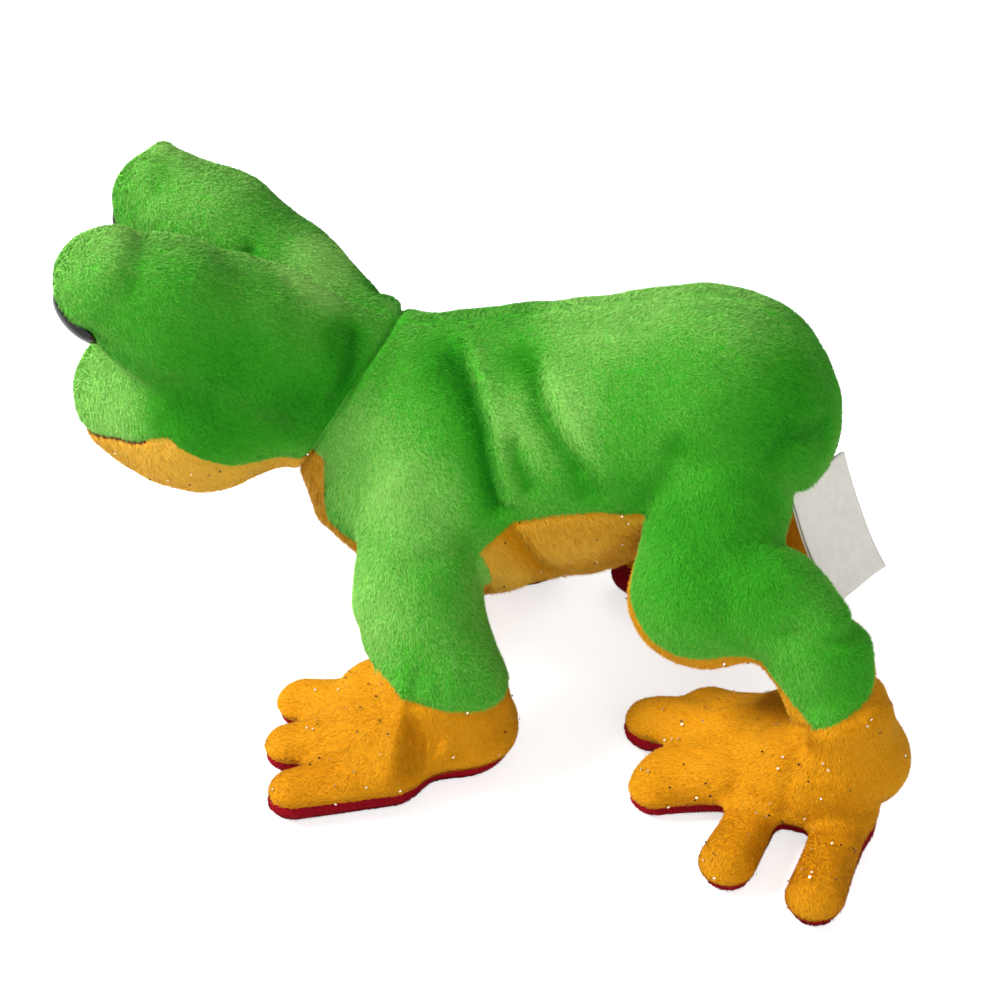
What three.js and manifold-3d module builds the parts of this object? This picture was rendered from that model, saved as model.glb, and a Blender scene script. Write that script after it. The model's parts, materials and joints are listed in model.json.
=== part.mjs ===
// A plush frog that stands on four splayed feet: skins of pile fabric, their stuffing, the eyes and the label.
// Millimetres, +Z up. The frog looks along -X, so its own left side is on -Y.
import * as THREE from 'three';
import { mergeVertices } from 'three/addons/utils/BufferGeometryUtils.js';
import Module from 'manifold-3d';

const wasm = await Module();
wasm.setup();

// The fabric and the clearances between neighbours
const skinWall = 2;
const seamGap = 0.3;
const fillingGap = 0.6;
const floorCut = 0.5;
const overrun = 300;

// Torso: a long bean, low at the shoulders and high at the rump, as two fat ends and a neck
const torsoSize = {
  shoulder: { x: -15, z: 67, radius: 35.5 },
  rump: { x: 56, z: 88.8, radius: 33.5 },
  chest: { x: -25, z: 69, radius: 33 },
  neck: { x: -38, z: 82, radius: 22 },
  belly: { x: -8, z: 62, radius: 33 },
  groin: { x: 16, z: 66, radius: 30 },
  softness: 3,
};
const torsoWidthShare = 0.94;
const torsoRings = 18;
const torsoSides = 22;

// The seam ring between head and torso
const neckSeam = { x: -38, z: 87 };
const neckTiltDegrees = 30;
const neckHollowRadius = 31;

// The belly panel: its seam height at the front legs and at the hind legs, and the chest strip's half width
const bellySeam = { frontX: 4, frontZ: 56, rearX: 40, rearZ: 69 };
const chestStrip = { halfWidth: 19, rearX: -24, topZ: 86 };
const pelletLevel = 58;

// Head: skull, cheeks and snout, turned a little to the frog's left, with one long mound for each eye
const headTurnDegrees = 6;
const headSize = {
  skull: { x: -84, z: 80.5, radius: 24.5 },
  nape: { x: -50, z: 83.5, radius: 23.5 },
  cheek: { x: -80, y: 13, z: 81, radius: 24.2 },
  snout: { x: -98, y: 9, z: 79, radius: 17.8 },
  softness: 3,
};
const mound = {
  front: { x: -97, y: 25, z: 121, radius: 14.5 },
  middle: { x: -82, y: 22, z: 113, radius: 17.5 },
  rear: { x: -46, y: 9, z: 90, radius: 16 },
  softness: 3,
};
const headRings = 16;
const headSides = 20;
const moundRings = 11;
const moundSides = 12;
const mouth = { x: -112, z: 61, lip: 1.6, depth: 16 };
const jawRiseShare = 0.2;

// Eyes: a glossy dome on a shank that a washer holds behind the fabric
const eye = { radius: 9, crown: 4.2, rim: 1.2, shankRadius: 1.9, shankLength: 11 };
const eyeSeat = { x: -105.5, y: 27, z: 111.5 };
const eyeDroopDegrees = 40;
const eyeSplayDegrees = 18;
const eyeSides = 20;
const eyeWasher = { radius: 6.5, thickness: 1.2, setback: 4.4, bore: 2.2 };

// Legs: shoulder or hip, then elbow or knee, then ankle, given for one side with y out from the middle
const frontLeg = {
  shoulder: { x: -14, y: 24, z: 65, radius: 17 },
  elbow: { x: -12, y: 36, z: 42, radius: 16 },
  ankle: { x: -3, y: 46, z: 22, radius: 18.5 },
  softness: 3,
};
const frontLegWidthShare = 0.85;
const frontLegRings = 10;
const frontLegSides = 14;
const hindLeg = {
  hip: { x: 63, y: 22, z: 81, radius: 19.5 },
  knee: { x: 60.5, y: 36, z: 55, radius: 17.5 },
  ham: { x: 80.5, y: 38, z: 60.5, radius: 15 },
  shin: { x: 97, y: 42, z: 48, radius: 11.5 },
  ankle: { x: 99.5, y: 44, z: 35, radius: 13 },
  softness: 2,
};
const hindLegWidthShare = 0.78;
const thighRings = 10;
const calfRings = 8;
const hindLegSides = 14;
const hindSeamShift = 5;

// The cuff where each leg's fabric meets the foot's, as a plane through the ankle
const frontCuff = { x: -3, y: 46, z: 26.5 };
const frontCuffLeanDegrees = -10;
const hindCuff = { x: 100.5, y: 44, z: 36.5 };
const hindCuffLeanDegrees = 32;
const frontCuffReach = 24;
const hindCuffReach = 17;

// Feet: an ankle lobe, a palm and round-ended toes, flattened, with the seam at mid height
const frontFoot = {
  heel: { x: 1, y: 46, lift: 0.4, radius: 14.5 },
  palm: { x: -16, y: 58, lift: 0.4, radius: 14.5 },
  instep: { x: -21, y: 43, lift: 2, radius: 13 },
  toes: [
    { rootX: -24, rootY: 41, endX: -43.5, endY: 41.5, lift: 0 },
    { rootX: -23, rootY: 54, endX: -40, endY: 60, lift: 0 },
    { rootX: -18, rootY: 63, endX: -32, endY: 78, lift: 0 },
  ],
  toeRadius: 8,
  toeRootRadius: 10,
  softness: 0.4,
};
const frontSoleSeam = { heelZ: 7, toeZ: 5.6 };
const hindFoot = {
  heel: { x: 104, y: 43, lift: 10, radius: 13.5 },
  palm: { x: 90, y: 46, lift: 1, radius: 17.5 },
  instep: { x: 84, y: 35, lift: 4, radius: 14 },
  toes: [
    { rootX: 82, rootY: 26, endX: 49.5, endY: 25.5, lift: 0 },
    { rootX: 78, rootY: 45, endX: 56, endY: 52.5, lift: 0 },
    { rootX: 86, rootY: 54, endX: 80.5, endY: 75, lift: 0 },
    { rootX: 101, rootY: 50, endX: 100, endY: 80, lift: 0 },
  ],
  toeRadius: 8.7,
  toeRootRadius: 10.5,
  softness: 0.4,
};
const hindSoleSeam = { heelZ: 12.5, toeZ: 5.8 };
const footHeightShare = 0.8;
const palmRings = 8;
const palmSides = 12;
const toeRings = 6;
const toeSides = 8;

// The right legs stand a little off the mirrored place, and the right hind foot is splayed wider
const square = { x: 0, y: 0, splayDegrees: 0 };
const rightFrontShift = { x: -6, y: -1, splayDegrees: 0 };
const rightHindShift = { x: -22, y: 4, splayDegrees: 10 };

// Stuffing is cut back round each ankle so that the foot can turn, and beside the torso so that the leg can swing
const legFillingSetback = 3.5;
const frontAnkleHollowRadius = 20.5;
const hindAnkleHollowRadius = 17.5;

// The sewn-in label: a folded strip of satin
const label = { width: 25, length: 42, layer: 0.35, fold: 0.9 };
const labelSeat = { x: 81, y: -6, z: 88 };
const labelFlareDegrees = 28;
const labelTurnDegrees = 66;

const skins = {
  green: new THREE.MeshStandardMaterial({ color: 0x4caf34, roughness: 0.9, metalness: 0 }),
  orange: new THREE.MeshStandardMaterial({ color: 0xeba01e, roughness: 0.9, metalness: 0 }),
  red: new THREE.MeshStandardMaterial({ color: 0x8c0014, roughness: 0.9, metalness: 0 }),
};
const eyePlastic = new THREE.MeshStandardMaterial({ color: 0x0a0a0a, roughness: 0.08, metalness: 0 });
const washerPlastic = new THREE.MeshStandardMaterial({ color: 0xdedede, roughness: 0.5, metalness: 0 });
const fibre = new THREE.MeshStandardMaterial({ color: 0xf2f0ea, roughness: 1, metalness: 0 });
const pellets = new THREE.MeshStandardMaterial({ color: 0xd8d8d0, roughness: 0.6, metalness: 0 });
const satin = new THREE.MeshStandardMaterial({ color: 0xe2e2e0, roughness: 0.4, metalness: 0 });

const point = (spot, side = 1) => new THREE.Vector3(spot.x, (spot.y ?? 0) * side, spot.z);

// Distance from a point to a ball swept from one place to another with a changing radius, squeezed along the axes
function sweptBall(from, to, squeeze = new THREE.Vector3(1, 1, 1)) {
  const start = point(from, from.side);
  const along = point(to, to.side).sub(start).divide(squeeze);
  const lengthSquared = Math.max(along.lengthSq(), Number.EPSILON);
  return (place) => {
    const offset = place.clone().sub(start).divide(squeeze);
    const share = THREE.MathUtils.clamp(offset.dot(along) / lengthSquared, 0, 1);
    return offset.addScaledVector(along, -share).length() - THREE.MathUtils.lerp(from.radius, to.radius, share);
  };
}

// Joins distance fields with a soft valley between them
function softJoin(fields, softness) {
  return (place) => {
    const distances = fields.map((field) => field(place));
    const least = Math.min(...distances);
    const sum = distances.reduce((total, d) => total + Math.exp((least - d) / softness), 0);
    return least - softness * Math.log(sum);
  };
}

// Walks outwards from a place inside the form until its surface is met
function meetSurface(field, from, direction, reach) {
  let inside = 0;
  let outside = reach;
  for (let step = 0; step < 30; step += 1) {
    const middle = (inside + outside) / 2;
    if (field(from.clone().addScaledVector(direction, middle)) < 0) inside = middle;
    else outside = middle;
  }
  return from.clone().addScaledVector(direction, inside);
}

// A closed skin of rings round a line through the form, closed by a point at each end
function loftGeometry({ field, from, to, rings, sides, reach }, grow) {
  const grown = (place) => field(place) - grow;
  const axis = to.clone().sub(from).normalize();
  const across = new THREE.Vector3(0, 0, 1).cross(axis).normalize();
  const upwards = axis.clone().cross(across);
  const middle = from.clone().lerp(to, 1 / 2);
  const first = meetSurface(grown, middle, axis.clone().negate(), reach);
  const last = meetSurface(grown, middle, axis, reach);
  const places = [first];
  for (let ring = 1; ring < rings; ring += 1) {
    const centre = first.clone().lerp(last, (1 - Math.cos((Math.PI * ring) / rings)) / 2);
    for (let side = 0; side < sides; side += 1) {
      const angle = (2 * Math.PI * side) / sides;
      const direction = across.clone().multiplyScalar(Math.cos(angle)).addScaledVector(upwards, Math.sin(angle));
      places.push(meetSurface(grown, centre, direction, reach));
    }
  }
  places.push(last);
  const faces = [];
  const end = places.length - 1;
  for (let side = 0; side < sides; side += 1) {
    const next = (side + 1) % sides;
    faces.push(0, 1 + next, 1 + side, end, end - sides + side, end - sides + next);
    for (let ring = 0; ring < rings - 2; ring += 1) {
      const row = 1 + ring * sides;
      faces.push(row + side, row + next, row + sides + side, row + next, row + sides + next, row + sides + side);
    }
  }
  const geometry = new THREE.BufferGeometry().setFromPoints(places);
  geometry.setIndex(faces);
  return geometry;
}

// Turns a closed geometry into a solid that can be joined and cut
function solidOf(geometry) {
  const bare = geometry.clone();
  bare.deleteAttribute('normal');
  bare.deleteAttribute('uv');
  const merged = mergeVertices(bare);
  const vertProperties = new Float32Array(merged.attributes.position.array);
  const triVerts = new Uint32Array(merged.index.array);
  return new wasm.Manifold(new wasm.Mesh({ numProp: 3, vertProperties, triVerts }));
}

// A form is a list of lofts that are joined
const formSolid = (form, grow = 0) =>
  form.map((loft) => solidOf(loftGeometry(loft, grow))).reduce((whole, piece) => whole.add(piece));

// A block that fills one side of a plane
function sideOf(place, normal, shift = 0) {
  const block = new THREE.BoxGeometry(overrun, overrun, overrun).translate(0, 0, overrun / 2);
  const turn = new THREE.Quaternion().setFromUnitVectors(new THREE.Vector3(0, 0, 1), normal);
  const base = place.clone().addScaledVector(normal, shift);
  return solidOf(block.applyQuaternion(turn).translate(base.x, base.y, base.z));
}

function ballAt(place, radius) {
  const ball = new THREE.IcosahedronGeometry(radius, 3).translate(place.x, place.y, place.z);
  return solidOf(ball);
}

// Seen from the side, an outline in x and z swept right across the frog
function sideProfile(corners) {
  const outline = new THREE.Shape(corners.map(([x, z]) => new THREE.Vector2(x, z)));
  const slab = new THREE.ExtrudeGeometry(outline, { depth: overrun, bevelEnabled: false });
  return solidOf(slab.rotateX(Math.PI / 2).translate(0, overrun / 2, 0));
}

const frog = new THREE.Group();
const stand = new THREE.Group();
frog.add(stand);

function addPiece(name, solid, material) {
  const mesh = solid.getMesh();
  const geometry = new THREE.BufferGeometry();
  geometry.setAttribute('position', new THREE.BufferAttribute(mesh.vertProperties, mesh.numProp));
  geometry.setIndex(new THREE.BufferAttribute(mesh.triVerts, 1));
  const piece = new THREE.Mesh(geometry, material);
  piece.name = name;
  stand.add(piece);
}

// Forms
const torsoSqueeze = new THREE.Vector3(1, torsoWidthShare, 1);
const torsoField = softJoin(
  [
    sweptBall(torsoSize.shoulder, torsoSize.rump, torsoSqueeze),
    sweptBall(torsoSize.chest, torsoSize.neck, torsoSqueeze),
    sweptBall(torsoSize.belly, torsoSize.groin, torsoSqueeze),
  ],
  torsoSize.softness,
);
const torsoForm = (rings = torsoRings, sides = torsoSides) => [
  { field: torsoField, from: point(torsoSize.chest), to: point(torsoSize.rump), rings, sides, reach: overrun },
];

const headTurn = THREE.MathUtils.degToRad(headTurnDegrees);
function turned(spot, side = 1) {
  const place = point(spot, side).sub(point(neckSeam));
  place.applyAxisAngle(new THREE.Vector3(0, 0, 1), headTurn).add(point(neckSeam));
  return { x: place.x, y: place.y, z: place.z, radius: spot.radius };
}
const headCoreField = softJoin(
  [
    sweptBall(turned(headSize.skull), turned(headSize.nape)),
    sweptBall(turned(headSize.cheek, -1), turned(headSize.cheek, 1)),
    sweptBall(turned(headSize.snout, -1), turned(headSize.snout, 1)),
  ],
  headSize.softness,
);
const moundField = (side) =>
  softJoin(
    [
      sweptBall(turned(mound.front, side), turned(mound.middle, side)),
      sweptBall(turned(mound.middle, side), turned(mound.rear, side)),
    ],
    mound.softness,
  );
const headForm = (thinning = 1) => [
  {
    field: headCoreField,
    from: point(turned(headSize.skull)),
    to: point(turned(headSize.nape)),
    rings: headRings / thinning,
    sides: headSides / thinning,
    reach: overrun,
  },
  ...[-1, 1].map((side) => ({
    field: moundField(side),
    from: point(turned(mound.front, side)),
    to: point(turned(mound.rear, side)),
    rings: Math.ceil(moundRings / thinning),
    sides: moundSides / thinning,
    reach: overrun,
  })),
];

// One leg of a pair, placed on its side and shifted there
const placed = (spot, side, shift) => ({
  x: spot.x + shift.x,
  y: (spot.y + shift.y) * side,
  z: spot.z,
  radius: spot.radius,
});
function frontLegForm(side, shift) {
  const squeeze = new THREE.Vector3(1, frontLegWidthShare, 1);
  const shoulder = placed(frontLeg.shoulder, side, { x: 0, y: 0 });
  const elbow = placed(frontLeg.elbow, side, shift);
  const ankle = placed(frontLeg.ankle, side, shift);
  const field = softJoin([sweptBall(shoulder, elbow, squeeze), sweptBall(elbow, ankle, squeeze)], frontLeg.softness);
  const [from, to] = [point(shoulder), point(ankle)];
  return [{ field, from, to, rings: frontLegRings, sides: frontLegSides, reach: overrun }];
}
function hindLegForm(side, shift) {
  const squeeze = new THREE.Vector3(1, hindLegWidthShare, 1);
  const hip = placed(hindLeg.hip, side, { x: 0, y: 0 });
  const knee = placed(hindLeg.knee, side, shift);
  const ham = placed(hindLeg.ham, side, shift);
  const shin = placed(hindLeg.shin, side, shift);
  const ankle = placed(hindLeg.ankle, side, shift);
  const joined = (bones) => softJoin(bones.map(([from, to]) => sweptBall(from, to, squeeze)), hindLeg.softness);
  const thigh = {
    field: joined([[hip, knee], [knee, ham]]),
    from: point(hip),
    to: point(knee).lerp(point(ham), 1 / 2),
    rings: thighRings,
    sides: hindLegSides,
    reach: overrun,
  };
  const calf = {
    field: joined([[ham, shin], [shin, ankle]]),
    from: point(ham),
    to: point(ankle),
    rings: calfRings,
    sides: hindLegSides,
    reach: overrun,
  };
  return [thigh, calf];
}

// A place on a foot, splayed about its ankle
function splayed(spot, ankle, side, shift) {
  const place = point(spot).sub(point(ankle));
  place.applyAxisAngle(new THREE.Vector3(0, 0, -1), THREE.MathUtils.degToRad(shift.splayDegrees)).add(point(ankle));
  return placed({ ...spot, x: place.x, y: place.y }, side, shift);
}

// A round part of a foot, raised by its lift and lowered by the flat that it stands on
const onFloor = ({ x, y, lift, radius }) => ({ x, y, radius, z: radius * footHeightShare + lift - floorCut });

// The foot's lobe under the ankle, its palm and instep, then one loft for each toe
function footForm(foot, ankle, side, shift, withToes = true) {
  const squeeze = new THREE.Vector3(1, 1, footHeightShare);
  const [heel, palm, instep] = [foot.heel, foot.palm, foot.instep].map((spot) =>
    splayed(onFloor(spot), ankle, side, shift),
  );
  const lobe = { ...placed(ankle, side, shift), radius: foot.heel.radius };
  const bones = [[lobe, heel], [heel, palm], [heel, instep], [instep, palm]];
  const palmField = softJoin(bones.map(([from, to]) => sweptBall(from, to, squeeze)), foot.softness);
  const lofts = [
    { field: palmField, from: point(heel), to: point(palm), rings: palmRings, sides: palmSides, reach: overrun },
  ];
  const toes = foot.toes.map(({ rootX, rootY, endX, endY, lift }) => {
    const [rootSpot, endSpot] = [
      { x: rootX, y: rootY, lift, radius: foot.toeRootRadius },
      { x: endX, y: endY, lift, radius: foot.toeRadius },
    ];
    const root = splayed(onFloor(rootSpot), ankle, side, shift);
    const end = splayed(onFloor(endSpot), ankle, side, shift);
    const field = sweptBall(root, end, squeeze);
    return { field, from: point(root), to: point(end), rings: toeRings, sides: toeSides, reach: overrun };
  });
  return withToes ? [...lofts, ...toes] : lofts;
}

// Cutting planes
const neckTilt = THREE.MathUtils.degToRad(neckTiltDegrees);
const neckNormal = new THREE.Vector3(-Math.cos(neckTilt), 0, Math.sin(neckTilt));
const neckPlace = point(neckSeam);
const behindNeck = sideOf(neckPlace, neckNormal.clone().negate(), seamGap / 2);
const beforeNeck = sideOf(neckPlace, neckNormal, seamGap / 2);
const aboveFloor = sideOf(new THREE.Vector3(0, 0, 0), new THREE.Vector3(0, 0, 1));
const leftSide = sideOf(new THREE.Vector3(0, 0, 0), new THREE.Vector3(0, -1, 0), seamGap / 2);
const rightSide = sideOf(new THREE.Vector3(0, 0, 0), new THREE.Vector3(0, 1, 0), seamGap / 2);

// Torso
const torsoOuter = formSolid(torsoForm());
const torsoCleared = formSolid(torsoForm(), seamGap);
const torsoSetBack = formSolid(torsoForm(), legFillingSetback);
const torsoCore = (grow) => formSolid(torsoForm(torsoRings / 2, torsoSides / 2), grow);
const torsoSkin = torsoOuter.subtract(torsoCore(-skinWall)).intersect(behindNeck);
const seamRise = (bellySeam.rearZ - bellySeam.frontZ) / (bellySeam.rearX - bellySeam.frontX);
const seamHeight = (x, lift) => bellySeam.frontZ + seamRise * (x - bellySeam.frontX) + lift;
const bellyRegion = (lift) => {
  const [front, rear] = [-overrun / 2, overrun / 2];
  const under = sideProfile([
    [front, -overrun],
    [rear, -overrun],
    [rear, seamHeight(rear, lift)],
    [front, seamHeight(front, lift)],
  ]);
  const width = 2 * (chestStrip.halfWidth + lift);
  const strip = new THREE.BoxGeometry(overrun, width, overrun);
  strip.translate(chestStrip.rearX + lift - overrun / 2, 0, chestStrip.topZ + lift - overrun / 2);
  return under.add(solidOf(strip));
};
const greenTorso = torsoSkin.subtract(bellyRegion(seamGap));
addPiece('body_panel_left', greenTorso.intersect(leftSide), skins.green);
addPiece('body_panel_right', greenTorso.intersect(rightSide), skins.green);
addPiece('belly_panel', torsoSkin.intersect(bellyRegion(0)), skins.orange);
const filling = torsoCore(-skinWall - fillingGap).intersect(behindNeck).subtract(ballAt(neckPlace, neckHollowRadius));
const abovePellets = sideOf(new THREE.Vector3(0, 0, pelletLevel), new THREE.Vector3(0, 0, 1), seamGap);
const pelletRoom = sideOf(new THREE.Vector3(0, 0, pelletLevel), new THREE.Vector3(0, 0, -1));
addPiece('body_stuffing', filling.intersect(abovePellets), fibre);
addPiece('pellet_fill', filling.intersect(pelletRoom), pellets);

// Eyes, as turned shapes about +Z that are then laid into the mounds
function latheAlongZ(profile) {
  const outline = profile.map(([radius, height]) => new THREE.Vector2(radius, height));
  return solidOf(new THREE.LatheGeometry(outline, eyeSides).rotateX(Math.PI / 2));
}
function eyeProfile(clearance) {
  const radius = eye.radius + clearance;
  const crown = eye.crown + clearance;
  const shank = eye.shankRadius + clearance;
  const dome = [0, 1, 2, 3, 4, 5].map((step) => {
    const angle = (step / 5) * (Math.PI / 2);
    return [radius * Math.cos(angle), crown * Math.sin(angle)];
  });
  const foot = -eye.rim - clearance;
  const end = -eye.shankLength - clearance;
  return [[0, end], [shank, end], [shank, foot], [radius, foot], ...dome.slice(0, -1), [0, crown]];
}
const washerProfile = (clearance) => {
  const [inner, outer] = [eyeWasher.bore - clearance, eyeWasher.radius + clearance];
  const [low, high] = [-eyeWasher.setback - eyeWasher.thickness - clearance, -eyeWasher.setback + clearance];
  return [[inner, low], [outer, low], [outer, high], [inner, high], [inner, low]];
};
function seatedEye(solid, side) {
  const droop = THREE.MathUtils.degToRad(eyeDroopDegrees);
  const splay = THREE.MathUtils.degToRad(eyeSplayDegrees) * side - headTurn;
  const facing = new THREE.Vector3(-Math.cos(droop), 0, -Math.sin(droop));
  facing.applyAxisAngle(new THREE.Vector3(0, 0, 1), -splay);
  const turn = new THREE.Quaternion().setFromUnitVectors(new THREE.Vector3(0, 0, 1), facing);
  const place = new THREE.Matrix4().compose(point(turned(eyeSeat, side)), turn, new THREE.Vector3(1, 1, 1));
  return solid.transform(place.toArray());
}

// Head
const headOuter = formSolid(headForm()).intersect(beforeNeck);
const headCavity = formSolid(headForm(2), -skinWall);
const jawNormal = new THREE.Vector3(-jawRiseShare, 0, 1).normalize();
const mouthPlace = point(mouth);
const belowMouth = sideOf(mouthPlace, jawNormal.clone().negate());
const aboveMouth = sideOf(mouthPlace, jawNormal, seamGap);
const mouthFront = sideOf(mouthPlace, new THREE.Vector3(-1, 0, 0), -mouth.depth);
const mouthSlab = (clearance) =>
  sideOf(mouthPlace, jawNormal, seamGap - clearance)
    .intersect(sideOf(mouthPlace, jawNormal.clone().negate(), -seamGap - mouth.lip - clearance))
    .intersect(sideOf(mouthPlace, new THREE.Vector3(-1, 0, 0), -mouth.depth - clearance));
const eyeRoom = [-1, 1]
  .map((side) => seatedEye(latheAlongZ(eyeProfile(seamGap)), side))
  .reduce((whole, piece) => whole.add(piece));
const washerRoom = [-1, 1]
  .map((side) => seatedEye(latheAlongZ(washerProfile(seamGap)), side))
  .reduce((whole, piece) => whole.add(piece));
const headSkin = headOuter.subtract(headCavity).subtract(eyeRoom).subtract(washerRoom);
const greenHead = headSkin.intersect(aboveMouth).subtract(mouthSlab(seamGap));
const headMiddle = new THREE.Vector3(0, 1, 0).applyAxisAngle(new THREE.Vector3(0, 0, 1), headTurn);
addPiece('head_panel_left', greenHead.intersect(sideOf(neckPlace, headMiddle.clone().negate(), seamGap / 2)), skins.green);
addPiece('head_panel_right', greenHead.intersect(sideOf(neckPlace, headMiddle, seamGap / 2)), skins.green);
addPiece('jaw_panel', headSkin.intersect(belowMouth), skins.orange);
addPiece('mouth_lining', headOuter.intersect(mouthSlab(0)).intersect(mouthFront), skins.red);
const headFilling = formSolid(headForm(2), -skinWall - fillingGap).intersect(beforeNeck);
addPiece('head_stuffing', headFilling.subtract(mouthSlab(seamGap)).subtract(eyeRoom).subtract(washerRoom), fibre);
for (const [name, side] of [['left', -1], ['right', 1]]) {
  addPiece(`eye_${name}`, seatedEye(latheAlongZ(eyeProfile(0)), side), eyePlastic);
  addPiece(`eye_washer_${name}`, seatedEye(latheAlongZ(washerProfile(0)), side), washerPlastic);
}

// Legs and feet
function addLimb(name, side, shift, legForm, cuff, leanDegrees, cuffReach, seamShift, foot, sole, hollowRadius) {
  const lean = THREE.MathUtils.degToRad(leanDegrees);
  const cuffNormal = new THREE.Vector3(-Math.sin(lean), 0, Math.cos(lean));
  const cuffPlace = point(placed(cuff, side, shift));
  const legSide = sideOf(cuffPlace, cuffNormal, seamGap / 2);
  const aboveCuff = sideOf(cuffPlace, cuffNormal, -seamGap / 2);
  const legRoom = aboveCuff.intersect(formSolid(legForm(side, shift), seamGap).add(ballAt(cuffPlace, cuffReach)));
  const outer = formSolid(legForm(side, shift)).subtract(torsoCleared).intersect(legSide);
  const inner = formSolid(legForm(side, shift), -skinWall);
  const skin = outer.subtract(inner);
  const lofts = legForm(side, shift);
  const [start, end] = [lofts[0].from, lofts.at(-1).to];
  const down = end.clone().sub(start).normalize();
  const outwards = down.clone().cross(new THREE.Vector3(1, 0, 0)).normalize().multiplyScalar(-side);
  if (outwards.y * side < 0) outwards.negate();
  const outerHalf = sideOf(end, outwards, seamShift + seamGap / 2);
  const innerHalf = sideOf(end, outwards.clone().negate(), seamGap / 2 - seamShift);
  addPiece(`${name}_leg_outer`, skin.intersect(outerHalf), skins.green);
  addPiece(`${name}_leg_inner`, skin.intersect(innerHalf), skins.orange);
  const hollow = ballAt(cuffPlace, hollowRadius);
  const legCore = formSolid(legForm(side, shift), -skinWall - fillingGap).subtract(torsoSetBack);
  addPiece(`${name}_leg_stuffing`, legCore.intersect(legSide).subtract(hollow), fibre);

  const footOuter = formSolid(footForm(foot, cuff, side, shift)).subtract(legRoom).intersect(aboveFloor);
  const footCavity = formSolid(footForm(foot, cuff, side, shift, false), -skinWall);
  const footSkin = footOuter.subtract(footCavity);
  const heel = point(splayed({ ...foot.heel, z: sole.heelZ }, cuff, side, shift));
  const [firstTip, lastTip] = [foot.toes[0], foot.toes.at(-1)].map((toe) =>
    point(splayed({ x: toe.endX, y: toe.endY, z: sole.toeZ }, cuff, side, shift)),
  );
  const soleNormal = firstTip.clone().sub(heel).cross(lastTip.clone().sub(heel)).normalize();
  if (soleNormal.z < 0) soleNormal.negate();
  addPiece(`${name}_foot_top`, footSkin.intersect(sideOf(heel, soleNormal, seamGap / 2)), skins.orange);
  addPiece(`${name}_foot_sole`, footSkin.intersect(sideOf(heel, soleNormal.clone().negate(), seamGap / 2)), skins.red);
  const wadding = formSolid(footForm(foot, cuff, side, shift, false), -skinWall - fillingGap);
  addPiece(`${name}_foot_wadding`, wadding.subtract(legRoom), fibre);
}
for (const [name, side, frontShift, hindShift] of [
  ['left', -1, square, square],
  ['right', 1, rightFrontShift, rightHindShift],
]) {
  addLimb(`${name}_front`, side, frontShift, frontLegForm, frontCuff, frontCuffLeanDegrees, frontCuffReach, 0,
    frontFoot, frontSoleSeam, frontAnkleHollowRadius);
  addLimb(`${name}_hind`, side, hindShift, hindLegForm, hindCuff, hindCuffLeanDegrees, hindCuffReach, hindSeamShift,
    hindFoot, hindSoleSeam, hindAnkleHollowRadius);
}

// The label: two layers joined by the fold at the bottom, hung from the rump seam
const strip = new THREE.Shape();
const half = label.fold / 2 + label.layer;
strip.moveTo(-half, 0);
strip.lineTo(-half, -label.length);
strip.lineTo(half, -label.length);
strip.lineTo(half, 0);
strip.lineTo(half - label.layer, 0);
strip.lineTo(half - label.layer, -label.length + label.layer);
strip.lineTo(-half + label.layer, -label.length + label.layer);
strip.lineTo(-half + label.layer, 0);
const tape = new THREE.ExtrudeGeometry(strip, { depth: label.width, bevelEnabled: false });
tape.translate(0, 0, -label.width / 2).rotateX(Math.PI / 2);
tape.rotateY(THREE.MathUtils.degToRad(-labelFlareDegrees));
tape.rotateZ(THREE.MathUtils.degToRad(labelTurnDegrees - 90));
tape.translate(labelSeat.x, labelSeat.y, labelSeat.z);
const labelRoom = torsoCleared.add(formSolid(hindLegForm(-1, square), seamGap));
addPiece('sewn_in_label', solidOf(tape).subtract(labelRoom), satin);

// The origin goes to the middle of the underside
const box = new THREE.Box3().setFromObject(frog);
const middle = box.getCenter(new THREE.Vector3());
stand.position.set(-middle.x, -middle.y, -box.min.z);

export default frog;
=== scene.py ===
"""Looks of a plush frog that stands on four splayed feet.

The frog's whole skin is one soft surface, so that fabric runs on from body to leg to foot as it does
on the real toy. It is worked out from balls swept along bones, with folds pressed into it, and is then
cut along the seams into one piece of fabric for each panel of the frame. Short pile grows on every panel.

Lengths are millimetres in the frog's own frame, which looks along -X with its left side on -Y, until a
mesh is made: Frame.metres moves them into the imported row's frame.
"""

import json
import logging
import math
from dataclasses import dataclass, replace
from enum import Enum
from typing import Callable, Iterable

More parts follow.
